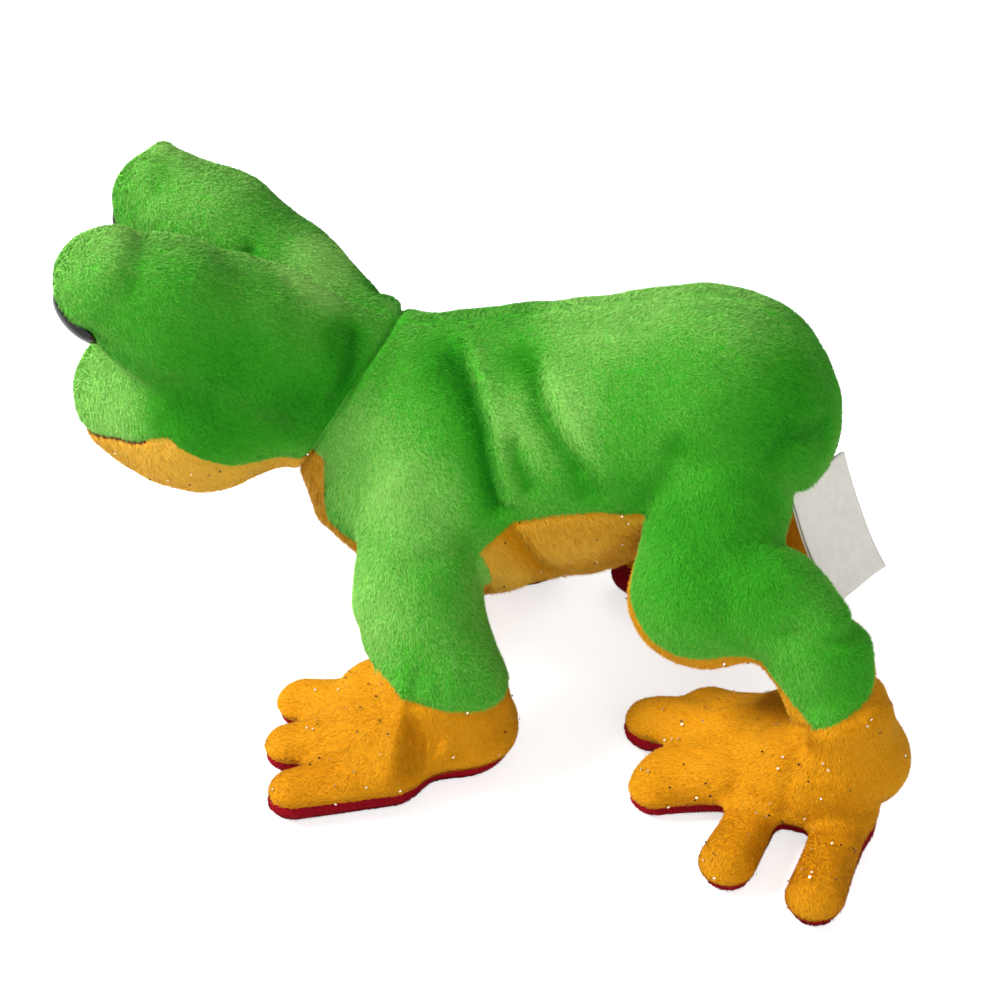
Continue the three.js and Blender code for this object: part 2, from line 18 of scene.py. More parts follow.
import bpy
import numpy as np
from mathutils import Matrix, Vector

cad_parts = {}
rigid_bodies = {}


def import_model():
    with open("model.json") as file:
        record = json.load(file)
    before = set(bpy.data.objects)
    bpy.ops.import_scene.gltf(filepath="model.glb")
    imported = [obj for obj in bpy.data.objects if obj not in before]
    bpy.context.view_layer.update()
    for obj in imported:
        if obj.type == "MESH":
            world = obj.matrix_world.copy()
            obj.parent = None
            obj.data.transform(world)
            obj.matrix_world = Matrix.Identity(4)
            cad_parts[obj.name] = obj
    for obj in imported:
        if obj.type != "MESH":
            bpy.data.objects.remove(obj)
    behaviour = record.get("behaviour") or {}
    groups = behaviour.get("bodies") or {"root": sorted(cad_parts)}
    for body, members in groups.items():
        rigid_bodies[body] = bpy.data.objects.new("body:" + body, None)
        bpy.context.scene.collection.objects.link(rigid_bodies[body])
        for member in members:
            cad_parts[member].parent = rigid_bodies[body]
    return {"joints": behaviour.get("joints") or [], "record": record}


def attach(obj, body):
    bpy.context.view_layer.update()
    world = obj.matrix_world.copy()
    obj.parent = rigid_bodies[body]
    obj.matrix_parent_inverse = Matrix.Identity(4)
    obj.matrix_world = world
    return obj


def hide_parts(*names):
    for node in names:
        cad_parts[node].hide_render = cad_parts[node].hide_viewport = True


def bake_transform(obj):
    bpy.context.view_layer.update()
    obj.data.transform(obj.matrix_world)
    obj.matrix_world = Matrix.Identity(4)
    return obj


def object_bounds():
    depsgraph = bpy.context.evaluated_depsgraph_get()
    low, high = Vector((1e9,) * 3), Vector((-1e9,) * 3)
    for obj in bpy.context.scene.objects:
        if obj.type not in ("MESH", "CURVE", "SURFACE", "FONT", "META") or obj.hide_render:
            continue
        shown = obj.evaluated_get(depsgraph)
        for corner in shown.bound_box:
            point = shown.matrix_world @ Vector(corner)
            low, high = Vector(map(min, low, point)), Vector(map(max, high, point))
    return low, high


log = logging.getLogger("frog")
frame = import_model()
cad_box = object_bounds()

MM = 1000.0
NECK = (-38.0, 0.0, 87.0)
PILE_RISE = 0.7
CELL = 0.9
ROOT_HEIGHT = 0.3
# Folds and seams are only worked out this close to the skin.
NEAR = 6.0
LIMB_NEAR = 8.0


class Side(Enum):
    """The frog's own left and right, as the sign of Y."""

    LEFT = -1
    RIGHT = 1


class Axis(Enum):
    """The direction along which a fold is swept, so that it only has a place in the other two."""

    ACROSS = 1
    UP = 2


class Slot(Enum):
    """The record's material slots that new pieces take their finish from."""

    GREEN = "green_pile"
    ORANGE = "orange_pile"
    RED = "red_pile"
    EYE = "eye_plastic"
    SATIN = "satin"


def joint_place(name: str) -> np.ndarray:
    """Where a joint of the frame is, in metres.

    Args:
        name: the joint's name in the record.

    Returns:
        Its place as three numbers.
    """
    return next(np.array(joint["pos_m"]) for joint in frame["joints"] if joint["name"] == name)


@dataclass(frozen=True)
class Frame:
    """Moves places from the frog's own millimetres to the row's metres."""

    neck: tuple[float, float, float] = NECK

    @property
    def shift(self) -> np.ndarray:
        """How far the neck's place is from the neck joint, in millimetres."""
        return joint_place("neck_nod") * MM - np.array(self.neck)

    def metres(self, places: np.ndarray) -> np.ndarray:
        """Shifts so that the neck's place falls on the neck joint, then scales."""
        return (np.asarray(places, float) + self.shift) / MM

    def point(self, x: float, y: float, z: float) -> tuple[float, float, float]:
        """One place as a plain tuple in metres."""
        return tuple(float(value) for value in self.metres(np.array([x, y, z])))


ROW = Frame()


# Distance fields

@dataclass(frozen=True)
class Ball:
    """A round place in the body, in millimetres."""

    x: float
    y: float
    z: float
    radius: float

    @property
    def centre(self) -> np.ndarray:
        """The middle as an array."""
        return np.array([self.x, self.y, self.z], np.float32)


def soft_union(first: np.ndarray, second: np.ndarray, width: float) -> np.ndarray:
    """Joins two distances: the lesser, less the square of how close they are over four widths.

    Args:
        first: distances to one form.
        second: distances to the other.
        width: how far the valley between them reaches.

    Returns:
        The joined distances.
    """
    close = np.maximum(width - np.abs(first - second), 0)
    return np.minimum(first, second) - close * close / (4 * width)


def smooth(share: np.ndarray) -> np.ndarray:
    """Three times the square less twice the cube of a share held between 0 and 1."""
    held = np.clip(share, 0, 1)
    return held * held * (3 - 2 * held)


def unit(rows: np.ndarray) -> np.ndarray:
    """Each row scaled to a length of one."""
    return rows / np.linalg.norm(rows, axis=1, keepdims=True)


def turned(
    x: np.ndarray | float, y: np.ndarray | float, angle: float, about: tuple[float, ...] = (0.0, 0.0)
) -> tuple[np.ndarray | float, np.ndarray | float]:
    """Places turned about an upright line: dx cos - dy sin, and dx sin + dy cos, from its place.

    Args:
        x: the places' x.
        y: the places' y.
        angle: how far, in radians.
        about: the line's x and y.

    Returns:
        The new x and y.
    """
    dx, dy = x - about[0], y - about[1]
    return (
        about[0] + dx * math.cos(angle) - dy * math.sin(angle),
        about[1] + dx * math.sin(angle) + dy * math.cos(angle),
    )


def gap_squared(places: np.ndarray, line: tuple[tuple[float, ...], ...]) -> np.ndarray:
    """The square of how far places are from a line of straight stretches.

    Args:
        places: one row for each place.
        line: the line's corners, with as many numbers each as a place has.

    Returns:
        The square of the least distance to any stretch, for each place.
    """
    least = np.full(len(places), 1e6, np.float32)
    for start, end in zip(line[:-1], line[1:]):
        offset = places - np.array(start, np.float32)
        along = np.subtract(end, start).astype(np.float32)
        share = np.clip(offset @ along / float(along @ along), 0, 1)
        offset -= share[:, None] * along
        least = np.minimum(least, (offset**2).sum(1))
    return least


@dataclass(frozen=True)
class Form:
    """Balls swept along bones and joined, squeezed along the axes.

    The distance to one bone is how far a place is from its line, less a radius that runs evenly from
    one end's to the other's. Bones are joined by minus the softness times the log of the sum of
    exp(-distance / softness).
    """

    bones: tuple[tuple[Ball, Ball], ...]
    softness: float
    squeeze: tuple[float, float, float] = (1.0, 1.0, 1.0)
    far: float = 16.0

    def box(self) -> tuple[np.ndarray, np.ndarray]:
        """The lowest and highest corners of what the balls can reach.

        Returns:
            The two corners.
        """
        balls = [ball for bone in self.bones for ball in bone]
        reach = np.array([[ball.radius * share for share in self.squeeze] for ball in balls])
        centres = np.array([ball.centre for ball in balls])
        return (centres - reach).min(0) - self.far, (centres + reach).max(0) + self.far

    def near(self, places: np.ndarray) -> np.ndarray:
        """Which places lie in the box."""
        low, high = self.box()
        return ((places > low) & (places < high)).all(1)

    def distance(self, places: np.ndarray) -> np.ndarray:
        """Distances of many places, which stop growing at far.

        Args:
            places: one row of x, y and z for each place.

        Returns:
            One distance each, negative inside.
        """
        found = np.full(len(places), self.far, np.float32)
        near = self.near(places)
        if not near.any():
            return found
        squeeze = np.array(self.squeeze, np.float32)
        scaled = places[near] / squeeze
        distances = []
        for start, end in self.bones:
            offset = scaled - start.centre / squeeze
            along = (end.centre - start.centre) / squeeze
            share = np.clip(offset @ along / max(float(along @ along), 1e-6), 0, 1)
            offset -= share[:, None] * along
            distances.append(np.sqrt((offset**2).sum(1)) - start.radius - share * (end.radius - start.radius))
        distances = np.array(distances)
        least = distances.min(0)
        joined = least - self.softness * np.log(np.exp((least - distances) / self.softness).sum(0))
        found[near] = np.minimum(joined, self.far)
        return found


@dataclass(frozen=True)
class Fold:
    """A dent that runs along a line over the skin, as the fabric gives there.

    It is a depth times exp(-(distance to the line / width) squared). The line has places in the two
    directions that it isn't swept along, and fades in past a level of the third.
    """

    line: tuple[tuple[float, float], ...]
    depth: float
    width: float
    axis: Axis = Axis.ACROSS
    side: int = -1
    level: float = 8.0
    fade: float = 12.0

    def dent(self, places: np.ndarray) -> np.ndarray:
        """How deep the fold is at each place.

        Args:
            places: one row of x, y and z for each place.

        Returns:
            The depths, which are added to the distance.
        """
        swept = self.axis.value
        kept = [axis for axis in range(3) if axis != swept]
        strength = smooth((places[:, swept] * self.side - self.level) / self.fade)
        return self.depth * strength * np.exp(-gap_squared(places[:, kept], self.line) / self.width**2)

    def mirrored(self, shift: float = 0.0, share: float = 1.0) -> "Fold":
        """The same fold on the other side, moved along and weakened."""
        moved = tuple((x + shift, z) for x, z in self.line)
        return replace(self, line=moved, side=-self.side, depth=self.depth * share)


@dataclass(frozen=True)
class Crease:
    """A dent along a line through space: a depth times exp(-(distance to the line / width) squared).

    A depth below zero raises a ridge.
    """

    line: tuple[tuple[float, float, float], ...]
    depth: float
    width: float

    def dent(self, places: np.ndarray) -> np.ndarray:
        """How deep the crease is at each place.

        Args:
            places: one row of x, y and z for each place.

        Returns:
            The depths, which are added to the distance.
        """
        return self.depth * np.exp(-gap_squared(places, self.line) / self.width**2)

    def mirrored(self, shift: float = 0.0, share: float = 1.0) -> "Crease":
        """The same crease on the other side, moved along and weakened."""
        moved = tuple((x + shift, -y, z) for x, y, z in self.line)
        return replace(self, line=moved, depth=self.depth * share)


def groove(values: np.ndarray, depth: float = 0.7, width: float = 1.1) -> np.ndarray:
    """The dip that a seam's thread pulls: a depth times exp(-(distance from the seam / width) squared)."""
    return depth * np.exp(-((values / width) ** 2))


def middle_groove(places: np.ndarray, depth: float, start: float, fade: float) -> np.ndarray:
    """The dip of a seam along the middle, where y is 0.

    Args:
        places: one row of x, y and z for each place.
        depth: how deep it is.
        start: the height at which it begins.
        fade: the height over which it reaches its depth.

    Returns:
        The depths, which are added to the distance.
    """
    return groove(places[:, 1], depth, 1.0) * smooth((places[:, 2] - start) / fade)


def rumple(places: np.ndarray) -> np.ndarray:
    """How slack fabric wanders: a sum of sine waves that run in fixed odd directions, in millimetres.

    Args:
        places: one row of x, y and z for each place.

    Returns:
        The height at each place.
    """
    waves = ((0.21, 0.13, -0.17, 0.20), (-0.15, 0.24, 0.11, 0.18), (0.31, -0.07, 0.27, 0.13),
             (0.12, 0.39, -0.31, 0.10), (-0.52, 0.21, 0.44, 0.06), (0.47, 0.58, 0.29, 0.05))
    turns = sum(depth * np.sin(places @ np.array(way, np.float32) + 7 * depth) for *way, depth in waves)
    return turns.astype(np.float32)


def pressed(form: Form, places: np.ndarray, folds: Iterable[Fold | Crease]) -> np.ndarray:
    """A form's distances with its folds pressed in.

    Args:
        form: the form.
        places: one row of x, y and z for each place.
        folds: what is pressed into it.

    Returns:
        The distances.
    """
    found = form.distance(places)
    near = found < form.far
    if near.any():
        close = places[near]
        found[near] += sum(fold.dent(close) for fold in folds)
    return found


def plane(places: np.ndarray, through: Iterable[float], normal: Iterable[float]) -> np.ndarray:
    """Distances from a plane, positive on the side that its normal points to."""
    upright = np.array(normal, np.float32) / np.linalg.norm(normal)
    return (places - np.array(through, np.float32)) @ upright


# Surfaces

Distance = Callable[[np.ndarray], np.ndarray]


@dataclass
class Surface:
    """Triangles of skin with a normal at each place."""

    places: np.ndarray
    normals: np.ndarray
    triangles: np.ndarray

    def part(self, triangles: np.ndarray, places: np.ndarray, normals: np.ndarray) -> "Surface":
        """Keeps the places that some triangles use."""
        used, numbers = np.unique(triangles, return_inverse=True)
        return Surface(places[used], normals[used], numbers.reshape(-1, 3))

    def split(self, values: np.ndarray) -> tuple["Surface", "Surface"]:
        """Cuts the triangles exactly along the line where a value at each place crosses zero.

        A triangle that the line crosses has one corner alone on its side: that corner and the two
        crossings make one triangle, and the other two corners and the crossings make two more.

        Args:
            values: one number for each place.

        Returns:
            What lies below zero, and what lies above.
        """
        values = np.where(np.abs(values) < 1e-3, 1e-3, values)
        above = values > 0
        count = above[self.triangles].sum(1)
        crossed = self.triangles[(count == 1) | (count == 2)]
        lone_above = count[(count == 1) | (count == 2)] == 1
        first = (above[crossed] == lone_above[:, None]).argmax(1)
        lone, after, before = crossed[np.arange(len(crossed))[:, None], (first[:, None] + [0, 1, 2]) % 3].T
        ends = np.sort(np.concatenate([np.stack([lone, after], 1), np.stack([lone, before], 1)]), 1)
        edges, numbers = np.unique(ends, axis=0, return_inverse=True)
        numbers = numbers.reshape(-1) + len(self.places)
        share = (values[edges[:, 0]] / (values[edges[:, 0]] - values[edges[:, 1]]))[:, None]
        places, normals = (
            np.concatenate([kept, kept[edges[:, 0]] * (1 - share) + kept[edges[:, 1]] * share])
            for kept in (self.places, self.normals)
        )
        mid_after, mid_before = numbers[: len(lone)], numbers[len(lone):]
        tips = np.stack([lone, mid_after, mid_before], 1)
        bases = np.concatenate([
            np.stack([mid_after, after, before], 1),
            np.stack([mid_after, before, mid_before], 1),
        ])
        base_above = np.tile(~lone_above, 2)
        below_set = np.concatenate([self.triangles[count == 0], tips[~lone_above], bases[~base_above]])
        above_set = np.concatenate([self.triangles[count == 3], tips[lone_above], bases[base_above]])
        return self.part(below_set, places, normals), self.part(above_set, places, normals)

    def areas(self) -> np.ndarray:
        """Each triangle's area.

        Returns:
            One area for each triangle.
        """
        corners = self.places[self.triangles]
        sides = np.cross(corners[:, 1] - corners[:, 0], corners[:, 2] - corners[:, 0])
        return np.linalg.norm(sides, axis=1) / 2

    def pick(self, chance: np.random.Generator, count: int) -> np.ndarray:
        """Picks triangles at random, each as often as its share of the area.

        Args:
            chance: where the random numbers come from.
            count: how many to pick.

        Returns:
            The three corner numbers of each.
        """
        areas = self.areas()
        chosen = np.searchsorted(np.cumsum(areas) / areas.sum(), chance.random(count)).clip(0, len(areas) - 1)
        return self.triangles[chosen]

    def hem(self, turn: float) -> "Surface":
        """Turns every open edge in by a seam allowance, straight back from the skin.

        Args:
            turn: how far the fabric is turned in.

        Returns:
            The surface with its hem.
        """
        edges = np.concatenate([self.triangles[:, pair] for pair in ([0, 1], [1, 2], [2, 0])])
        keys = np.sort(edges, 1) @ np.array([len(self.places), 1])
        _, where, times = np.unique(keys, return_index=True, return_counts=True)
        start, end = edges[where[times == 1]].T
        rim, numbers = np.unique(np.concatenate([start, end]), return_inverse=True)
        inner = numbers + len(self.places)
        inner_start, inner_end = inner[: len(start)], inner[len(start):]
        places = np.concatenate([self.places, self.places[rim] - self.normals[rim] * turn])
        normals = np.concatenate([self.normals, self.normals[rim]])
        walls = np.concatenate([
            np.stack([end, start, inner_start], 1),
            np.stack([end, inner_start, inner_end], 1),
        ])
        return Surface(places, normals, np.concatenate([self.triangles, walls]))


@dataclass(frozen=True)
class SkinMaker:
    """Turns a distance field into an even mesh of triangles.

    Space is filled with small cells. A cell that the skin passes through gets one place, the mean of
    where its edges meet the skin, and cells that share a crossed edge are joined. The places are then
    evened out with their neighbours and walked down the field's slope until they lie on the skin.
    """

    cell: float
    block: int = 4
    slack: float = 1.4
    margin: float = 4.0
    evening: int = 2

    def gradient(self, distance: Distance, places: np.ndarray) -> tuple[np.ndarray, np.ndarray]:
        """The field's value and slope by four samples at the corners of a small tetrahedron.

        Args:
            distance: the field.
            places: one row of x, y and z for each place.

        Returns:
            The value and the slope at each place.
        """
        corners = np.array([[1, 1, 1], [1, -1, -1], [-1, 1, -1], [-1, -1, 1]], np.float32)
        step = self.cell / 4
        samples = np.array([distance(places + corner * step) for corner in corners])
        slope = np.einsum("cn,ca->na", samples, corners) / (4 * step)
        return samples.mean(0), slope

    def build(self, distance: Distance, low: np.ndarray, high: np.ndarray) -> Surface:
        """Makes the surface where the distance is zero.

        Args:
            distance: gives the distances of many places.
            low: the lowest corner of the space to search.
            high: its highest corner.

        Returns:
            The surface, facing out.
        """
        span = self.cell * self.block
        low = np.asarray(low, np.float32) - self.margin
        counts = np.ceil((np.asarray(high) + self.margin - low) / span).astype(int)
        blocks = np.stack(np.meshgrid(*[np.arange(n) for n in counts], indexing="ij"), -1).reshape(-1, 3)
        middles = low + (blocks + 1 / 2).astype(np.float32) * span
        blocks = blocks[np.abs(distance(middles)) < span * self.slack + 1]
        steps = np.arange(self.block + 1)
        offsets = np.stack(np.meshgrid(steps, steps, steps, indexing="ij"), -1).reshape(-1, 3)
        nodes = (blocks[:, None] * self.block + offsets).reshape(-1, 3)
        wide = counts * self.block + 1
        scale = np.array([wide[1] * wide[2], wide[2], 1])
        _, where, numbers = np.unique(nodes @ scale, return_index=True, return_inverse=True)
        values = distance(low + nodes[where].astype(np.float32) * self.cell)[numbers.reshape(-1)]
        grid = values.reshape(-1, *[self.block + 1] * 3)
        return self.even_out(distance, *self.net(grid, blocks, low, scale))

    def net(self, grid: np.ndarray, blocks: np.ndarray, low: np.ndarray, scale: np.ndarray) -> tuple:
        """Places one point in each crossed cell and joins the four cells round each crossed edge.

        Args:
            grid: the field's values at the corners of each block's cells.
            blocks: each block's place in whole blocks.
            low: the lowest corner of the space.
            scale: what turns a cell's place into its number.

        Returns:
            The places and the four-cornered faces.
        """
        size = self.block
        corner_steps = np.stack(np.meshgrid([0, 1], [0, 1], [0, 1], indexing="ij"), -1).reshape(-1, 3)
        corners = np.stack([grid[:, x:x + size, y:y + size, z:z + size] for x, y, z in corner_steps], -1)
        inside = (corners < 0).sum(-1)
        crossed = np.argwhere((inside > 0) & (inside < len(corner_steps)))
        found = corners[tuple(crossed.T)]
        cells = blocks[crossed[:, 0]] * size + crossed[:, 1:]
        order = np.argsort(cells @ scale)
        found, cells = found[order], cells[order]
        keys = cells @ scale
        total = np.zeros((len(cells), 3), np.float32)
        times = np.zeros(len(cells), np.float32)
        for one in range(len(corner_steps)):
            for other in range(one + 1, len(corner_steps)):
                way = corner_steps[other] - corner_steps[one]
                if np.abs(way).sum() != 1:
                    continue
                first, second = found[:, one], found[:, other]
                meets = (first < 0) != (second < 0)
                share = np.where(meets, first / np.where(meets, first - second, 1), 0)
                total += meets[:, None] * (corner_steps[one] + share[:, None] * way)
                times += meets
        places = low + (cells + total / times[:, None]) * self.cell
        faces = []
        for axis in range(3):
            right, ahead = (axis + 1) % 3, (axis + 2) % 3
            far_corner = int(np.flatnonzero((corner_steps == np.eye(3, dtype=int)[axis]).all(1))[0])
            start, end = found[:, 0], found[:, far_corner]
            meets = np.flatnonzero((start < 0) != (end < 0))
            back_right, back_ahead = scale[right], scale[ahead]
            around = [
                np.searchsorted(keys, keys[meets] - step)
                for step in (back_right + back_ahead, back_ahead, 0, back_right)
            ]
            around = np.stack(around, 1)
            flip = start[meets] > 0
            around[flip] = around[flip][:, ::-1]
            faces.append(around)
        return places.astype(np.float32), np.concatenate(faces)

    def even_out(self, distance: Distance, places: np.ndarray, quads: np.ndarray) -> Surface:
        """Moves each place to the mean of its neighbours and back onto the skin, then halves each face.

        Args:
            distance: the field.
            places: the points of the net.
            quads: its four-cornered faces.

        Returns:
            The surface of triangles.
        """
        ends = np.concatenate([quads[:, [0, 1]], quads[:, [1, 2]], quads[:, [2, 3]], quads[:, [3, 0]]])
        times = np.bincount(ends[:, 0], minlength=len(places)).astype(np.float32)[:, None]
        for _ in range(self.evening):
            mean = np.stack([
                np.bincount(ends[:, 0], weights=places[ends[:, 1], axis], minlength=len(places))
                for axis in range(3)
            ], 1) / times
            places = (places + mean.astype(np.float32)) / 2
            value, slope = self.gradient(distance, places)
            places = places - (value / (slope**2).sum(1))[:, None] * slope
        _, slope = self.gradient(distance, places)
        normals = unit(slope)
        across = np.linalg.norm(places[quads[:, 0]] - places[quads[:, 2]], axis=1)
        other = np.linalg.norm(places[quads[:, 1]] - places[quads[:, 3]], axis=1)
        turned = np.where((across > other)[:, None], np.roll(quads, 1, axis=1), quads)
        return Surface(places, normals, np.concatenate([turned[:, [0, 1, 2]], turned[:, [0, 2, 3]]]))


# Parts of the frog

MAIN_FOLD = ((-14, 105), (-9, 101), (-3, 96), (2, 89), (4, 82), (7, 72))
SECOND_FOLD = ((9, 107), (13, 104), (17, 97), (22, 91), (28, 85))
HIP_CREASE = Crease(((53, -31, 95), (63, -34.5, 94), (71, -33.5, 91), (81, -29, 81)), 1.9, 2.6)


@dataclass(frozen=True)
class Torso:
    """The body: a long bean, low at the shoulders and high at the rump, with its belly panel."""

    shoulder: Ball = Ball(-15, 0, 68.2, 35.6)
    rump: Ball = Ball(56, 0, 88.8, 33.5)
    chest: Ball = Ball(-25, 0, 69, 33)
    neck: Ball = Ball(-38, 0, 83.4, 22.3)
    belly: Ball = Ball(-8, 0, 62, 33)
    groin: Ball = Ball(18, 0, 68.2, 29.6)
    width_share: float = 0.94
    softness: float = 3.0
    strip_half_width: float = 23.5
    strip_rear: float = -24.0
    strip_top: float = 74.0
    belly_edge: tuple[tuple[float, float], ...] = (
        (-40, 48), (-6, 52), (3, 57), (12, 67), (22, 71), (32, 73), (40, 73), (60, 76),
    )
    spine_depth: float = 0.9
    spine_start: float = 80.0
    spine_fade: float = 10.0
    mate_shift: float = 5.0
    mate_share: float = 0.8
    mate_drop: float = 16.0
    folds: tuple[Fold | Crease, ...] = (
        Fold(MAIN_FOLD, 2.5, 5.4, level=1),
        Fold(MAIN_FOLD, 1.8, 2.0, level=2),
        Fold(((-5, 106), (2, 100), (7, 93), (9, 84), (11, 75)), -1.8, 2.8, level=3),
        Fold((*SECOND_FOLD, (31, 80)), 1.9, 4.2, level=5),
        Fold(SECOND_FOLD, 1.3, 1.8, level=5),
        Fold(((17, 106), (23, 100), (29, 93), (34, 86)), -0.9, 3.4),
        Fold(((11, 89), (13, 85), (16, 79)), 1.6, 2.2),
        Fold(((11, 63), (14, 57), (18, 48)), 2.6, 2.4),
        Crease(((3, -27, 50), (8, -25, 47)), -2.6, 7),
        Crease(((24, -27, 58), (32, -26, 60)), -1.6, 6),
        Crease(((-2, -22, 41), (4, -21, 40)), -1.8, 8),
        HIP_CREASE,
        Crease(((45, -33, 79), (50, -33.5, 87), (53, -31, 97)), 1.2, 2.6),
        Crease(((76, -25, 93), (79, -20, 98), (86, -11, 95), (88, -10, 88)), 1.5, 2.8),
    )

    def form(self) -> Form:
        """The body's bones."""
        bones = ((self.shoulder, self.rump), (self.chest, self.neck), (self.belly, self.groin))
        return Form(bones, self.softness, (1, self.width_share, 1))

    def all_folds(self) -> tuple[Fold | Crease, ...]:
        """The folds of the left side and their weaker mates on the right, which stay off the back.

        Returns:
            Both sides' folds.
        """
        mates = (fold.mirrored(self.mate_shift, self.mate_share) for fold in self.folds)
        lower = (
            replace(mate, level=mate.level + self.mate_drop) if isinstance(mate, Fold) else mate
            for mate in mates
        )
        return (*self.folds, *lower)

    def belly_values(self, places: np.ndarray) -> np.ndarray:
        """Negative in the belly panel: below its curved edge, or within the chest strip.

        Args:
            places: one row of x, y and z for each place.

        Returns:
            One value for each place.
        """
        xs, zs = zip(*self.belly_edge)
        under = places[:, 2] - np.interp(places[:, 0], xs, zs)
        strip = np.maximum(np.abs(places[:, 1]) - self.strip_half_width, places[:, 0] - self.strip_rear)
        return soft_union(under, np.maximum(strip, places[:, 2] - self.strip_top), 6)

    def distance(self, places: np.ndarray) -> np.ndarray:
        """The body with its folds and seams.

        Args:
            places: one row of x, y and z for each place.

        Returns:
            The distance at each place, in millimetres.
        """
        found = pressed(self.form(), places, self.all_folds())
        near = found < NEAR
        close = places[near]
        spine = middle_groove(close, self.spine_depth, self.spine_start, self.spine_fade)
        found[near] += groove(self.belly_values(close)) + spine
        return found


@dataclass(frozen=True)
class Head:
    """The head: skull, cheeks and snout, turned a little to the frog's left, with two long eye mounds."""

    turn_degrees: float = 6.0
    neck: tuple[float, float, float] = NECK
    neck_tilt_degrees: float = 30.0
    neck_reach: float = 22.0
    skull: Ball = Ball(-84, 0, 80.5, 24.0)
    nape: Ball = Ball(-50, 0, 83.5, 23.5)
    cheek: Ball = Ball(-80, 13, 81, 23.7)
    snout: Ball = Ball(-97.3, 9, 80, 17.3)
    softness: float = 3.0
    mound_front: Ball = Ball(-96.5, 25, 121, 14.4)
    mound_middle: Ball = Ball(-82, 22, 113, 17.4)
    mound_back: Ball = Ball(-62, 15, 101.5, 17.4)
    mound_rear: Ball = Ball(-44, 9, 91, 16.5)
    mound_join: float = 5.0
    jaw_edge: tuple[tuple[float, float], ...] = (
        (-120, 72), (-104, 76), (-93, 79), (-86, 82), (-82, 83), (-76, 79), (-67, 73), (-52, 70), (-36, 74),
    )
    mouth_lip: float = 0.9
    mouth_rear: float = -88.0
    mouth_taper: float = 6.0
    crown_depth: float = 0.8
    crown_start: float = 84.0
    crown_fade: float = 8.0
    mate_shift: float = 1.5
    mate_share: float = 0.9
    paired_folds: tuple[Crease, ...] = (
        Crease(((-100, -36, 111), (-91, -40, 105), (-83, -38, 99), (-79, -37, 91)), 1.6, 4.0),
        Crease(((-97, -31, 99), (-89, -36, 94), (-84, -37, 88), (-82, -37, 82)), 2.4, 2.5),
        Crease(((-104, -19, 98), (-101, -23, 90)), 0.6, 2.6),
        Crease(((-38, -12, 104), (-38, -22, 96), (-41, -27, 88), (-43, -29, 80)), 2.1, 2.8),
    )
    left_folds: tuple[Crease, ...] = (
        Crease(((-66, -9, 119), (-57, -7, 116), (-48, -6, 111)), -2.8, 7.0),
        Crease(((-68, 4, 117), (-62, -5, 117), (-55, -13, 116)), 1.9, 2.6),
        Crease(((-94, -18, 134), (-92, -29, 134), (-93, -35, 130)), -0.7, 3.2),
        Crease(((-88, -20, 133), (-86, -30, 131), (-87, -37, 126)), 0.7, 3.6),
    )
    right_folds: tuple[Crease, ...] = (
        Crease(((-94, 27, 137), (-94, 20, 135), (-95, 14, 131)), 1.3, 2.8),
        Crease(((-97, 29, 136), (-98, 33, 134)), -1.8, 3.0),
        Crease(((-101, 12, 128), (-104, 16, 122)), 0.8, 2.4),
    )

    def local(self, places: np.ndarray) -> np.ndarray:
        """Places turned back about the neck, so that the head looks straight along -X.

        Args:
            places: one row of x, y and z for each place.

        Returns:
            The turned places.
        """
        offset = places - np.array(self.neck, np.float32)
        x, y = turned(offset[:, 0], offset[:, 1], -math.radians(self.turn_degrees))
        return np.stack([x, y, offset[:, 2]], 1).astype(np.float32) + np.array(self.neck, np.float32)

    def outward(self, place: np.ndarray) -> np.ndarray:
        """One direction or place turned as the head is, about the Z axis."""
        x, y = turned(place[0], place[1], math.radians(self.turn_degrees))
        return np.array([x, y, place[2]])

    def neck_values(self, places: np.ndarray) -> np.ndarray:
        """Positive before the plane of the neck seam."""
        tilt = math.radians(self.neck_tilt_degrees)
        return plane(places, self.neck, (-math.cos(tilt), 0, math.sin(tilt)))

    def jaw_values(self, places: np.ndarray) -> np.ndarray:
        """Positive above the jaw's seam.

        Args:
            places: one row of x, y and z for each place.

        Returns:
            One value for each place.
        """
        local = self.local(places)
        xs, zs = zip(*self.jaw_edge)
        return local[:, 2] - np.interp(local[:, 0], xs, zs)

    def middle_values(self, places: np.ndarray) -> np.ndarray:
        """Positive on the head's right."""
        return self.local(places)[:, 1]

    @staticmethod
    def mirror(ball: Ball, side: Side) -> Ball:
        """A ball of one side."""
        return replace(ball, y=ball.y * side.value)

    def forms(self) -> list[Form]:
        """The core of the head, then one form for each mound.

        Returns:
            The three forms.
        """
        across = tuple((self.mirror(ball, Side.LEFT), ball) for ball in (self.cheek, self.snout))
        core = Form(((self.skull, self.nape), *across), self.softness)
        mounds = []
        for side in Side:
            balls = (self.mound_front, self.mound_middle, self.mound_back, self.mound_rear)
            chain = [self.mirror(ball, side) for ball in balls]
            mounds.append(Form(tuple(zip(chain[:-1], chain[1:])), self.softness))
        return [core, *mounds]

    def all_folds(self) -> tuple[Crease, ...]:
        """The folds that both sides have, and each side's own."""
        mates = tuple(fold.mirrored(self.mate_shift, self.mate_share) for fold in self.paired_folds)
        return self.paired_folds + mates + self.left_folds + self.right_folds

    def distance(self, places: np.ndarray) -> np.ndarray:
        """The head with its folds and seams.

        Args:
            places: one row of x, y and z for each place.

        Returns:
            The distance at each place, in millimetres.
        """
        local = self.local(places)
        core, left, right = (form.distance(local) for form in self.forms())
        found = soft_union(core, soft_union(left, right, self.mound_join), self.mound_join)
        near = found < NEAR
        if near.any():
            close = local[near]
            found[near] += sum(fold.dent(close) for fold in self.all_folds())
            middle = middle_groove(close, self.crown_depth, self.crown_start, self.crown_fade)
            found[near] += groove(self.jaw_values(places[near])) + middle
        return found


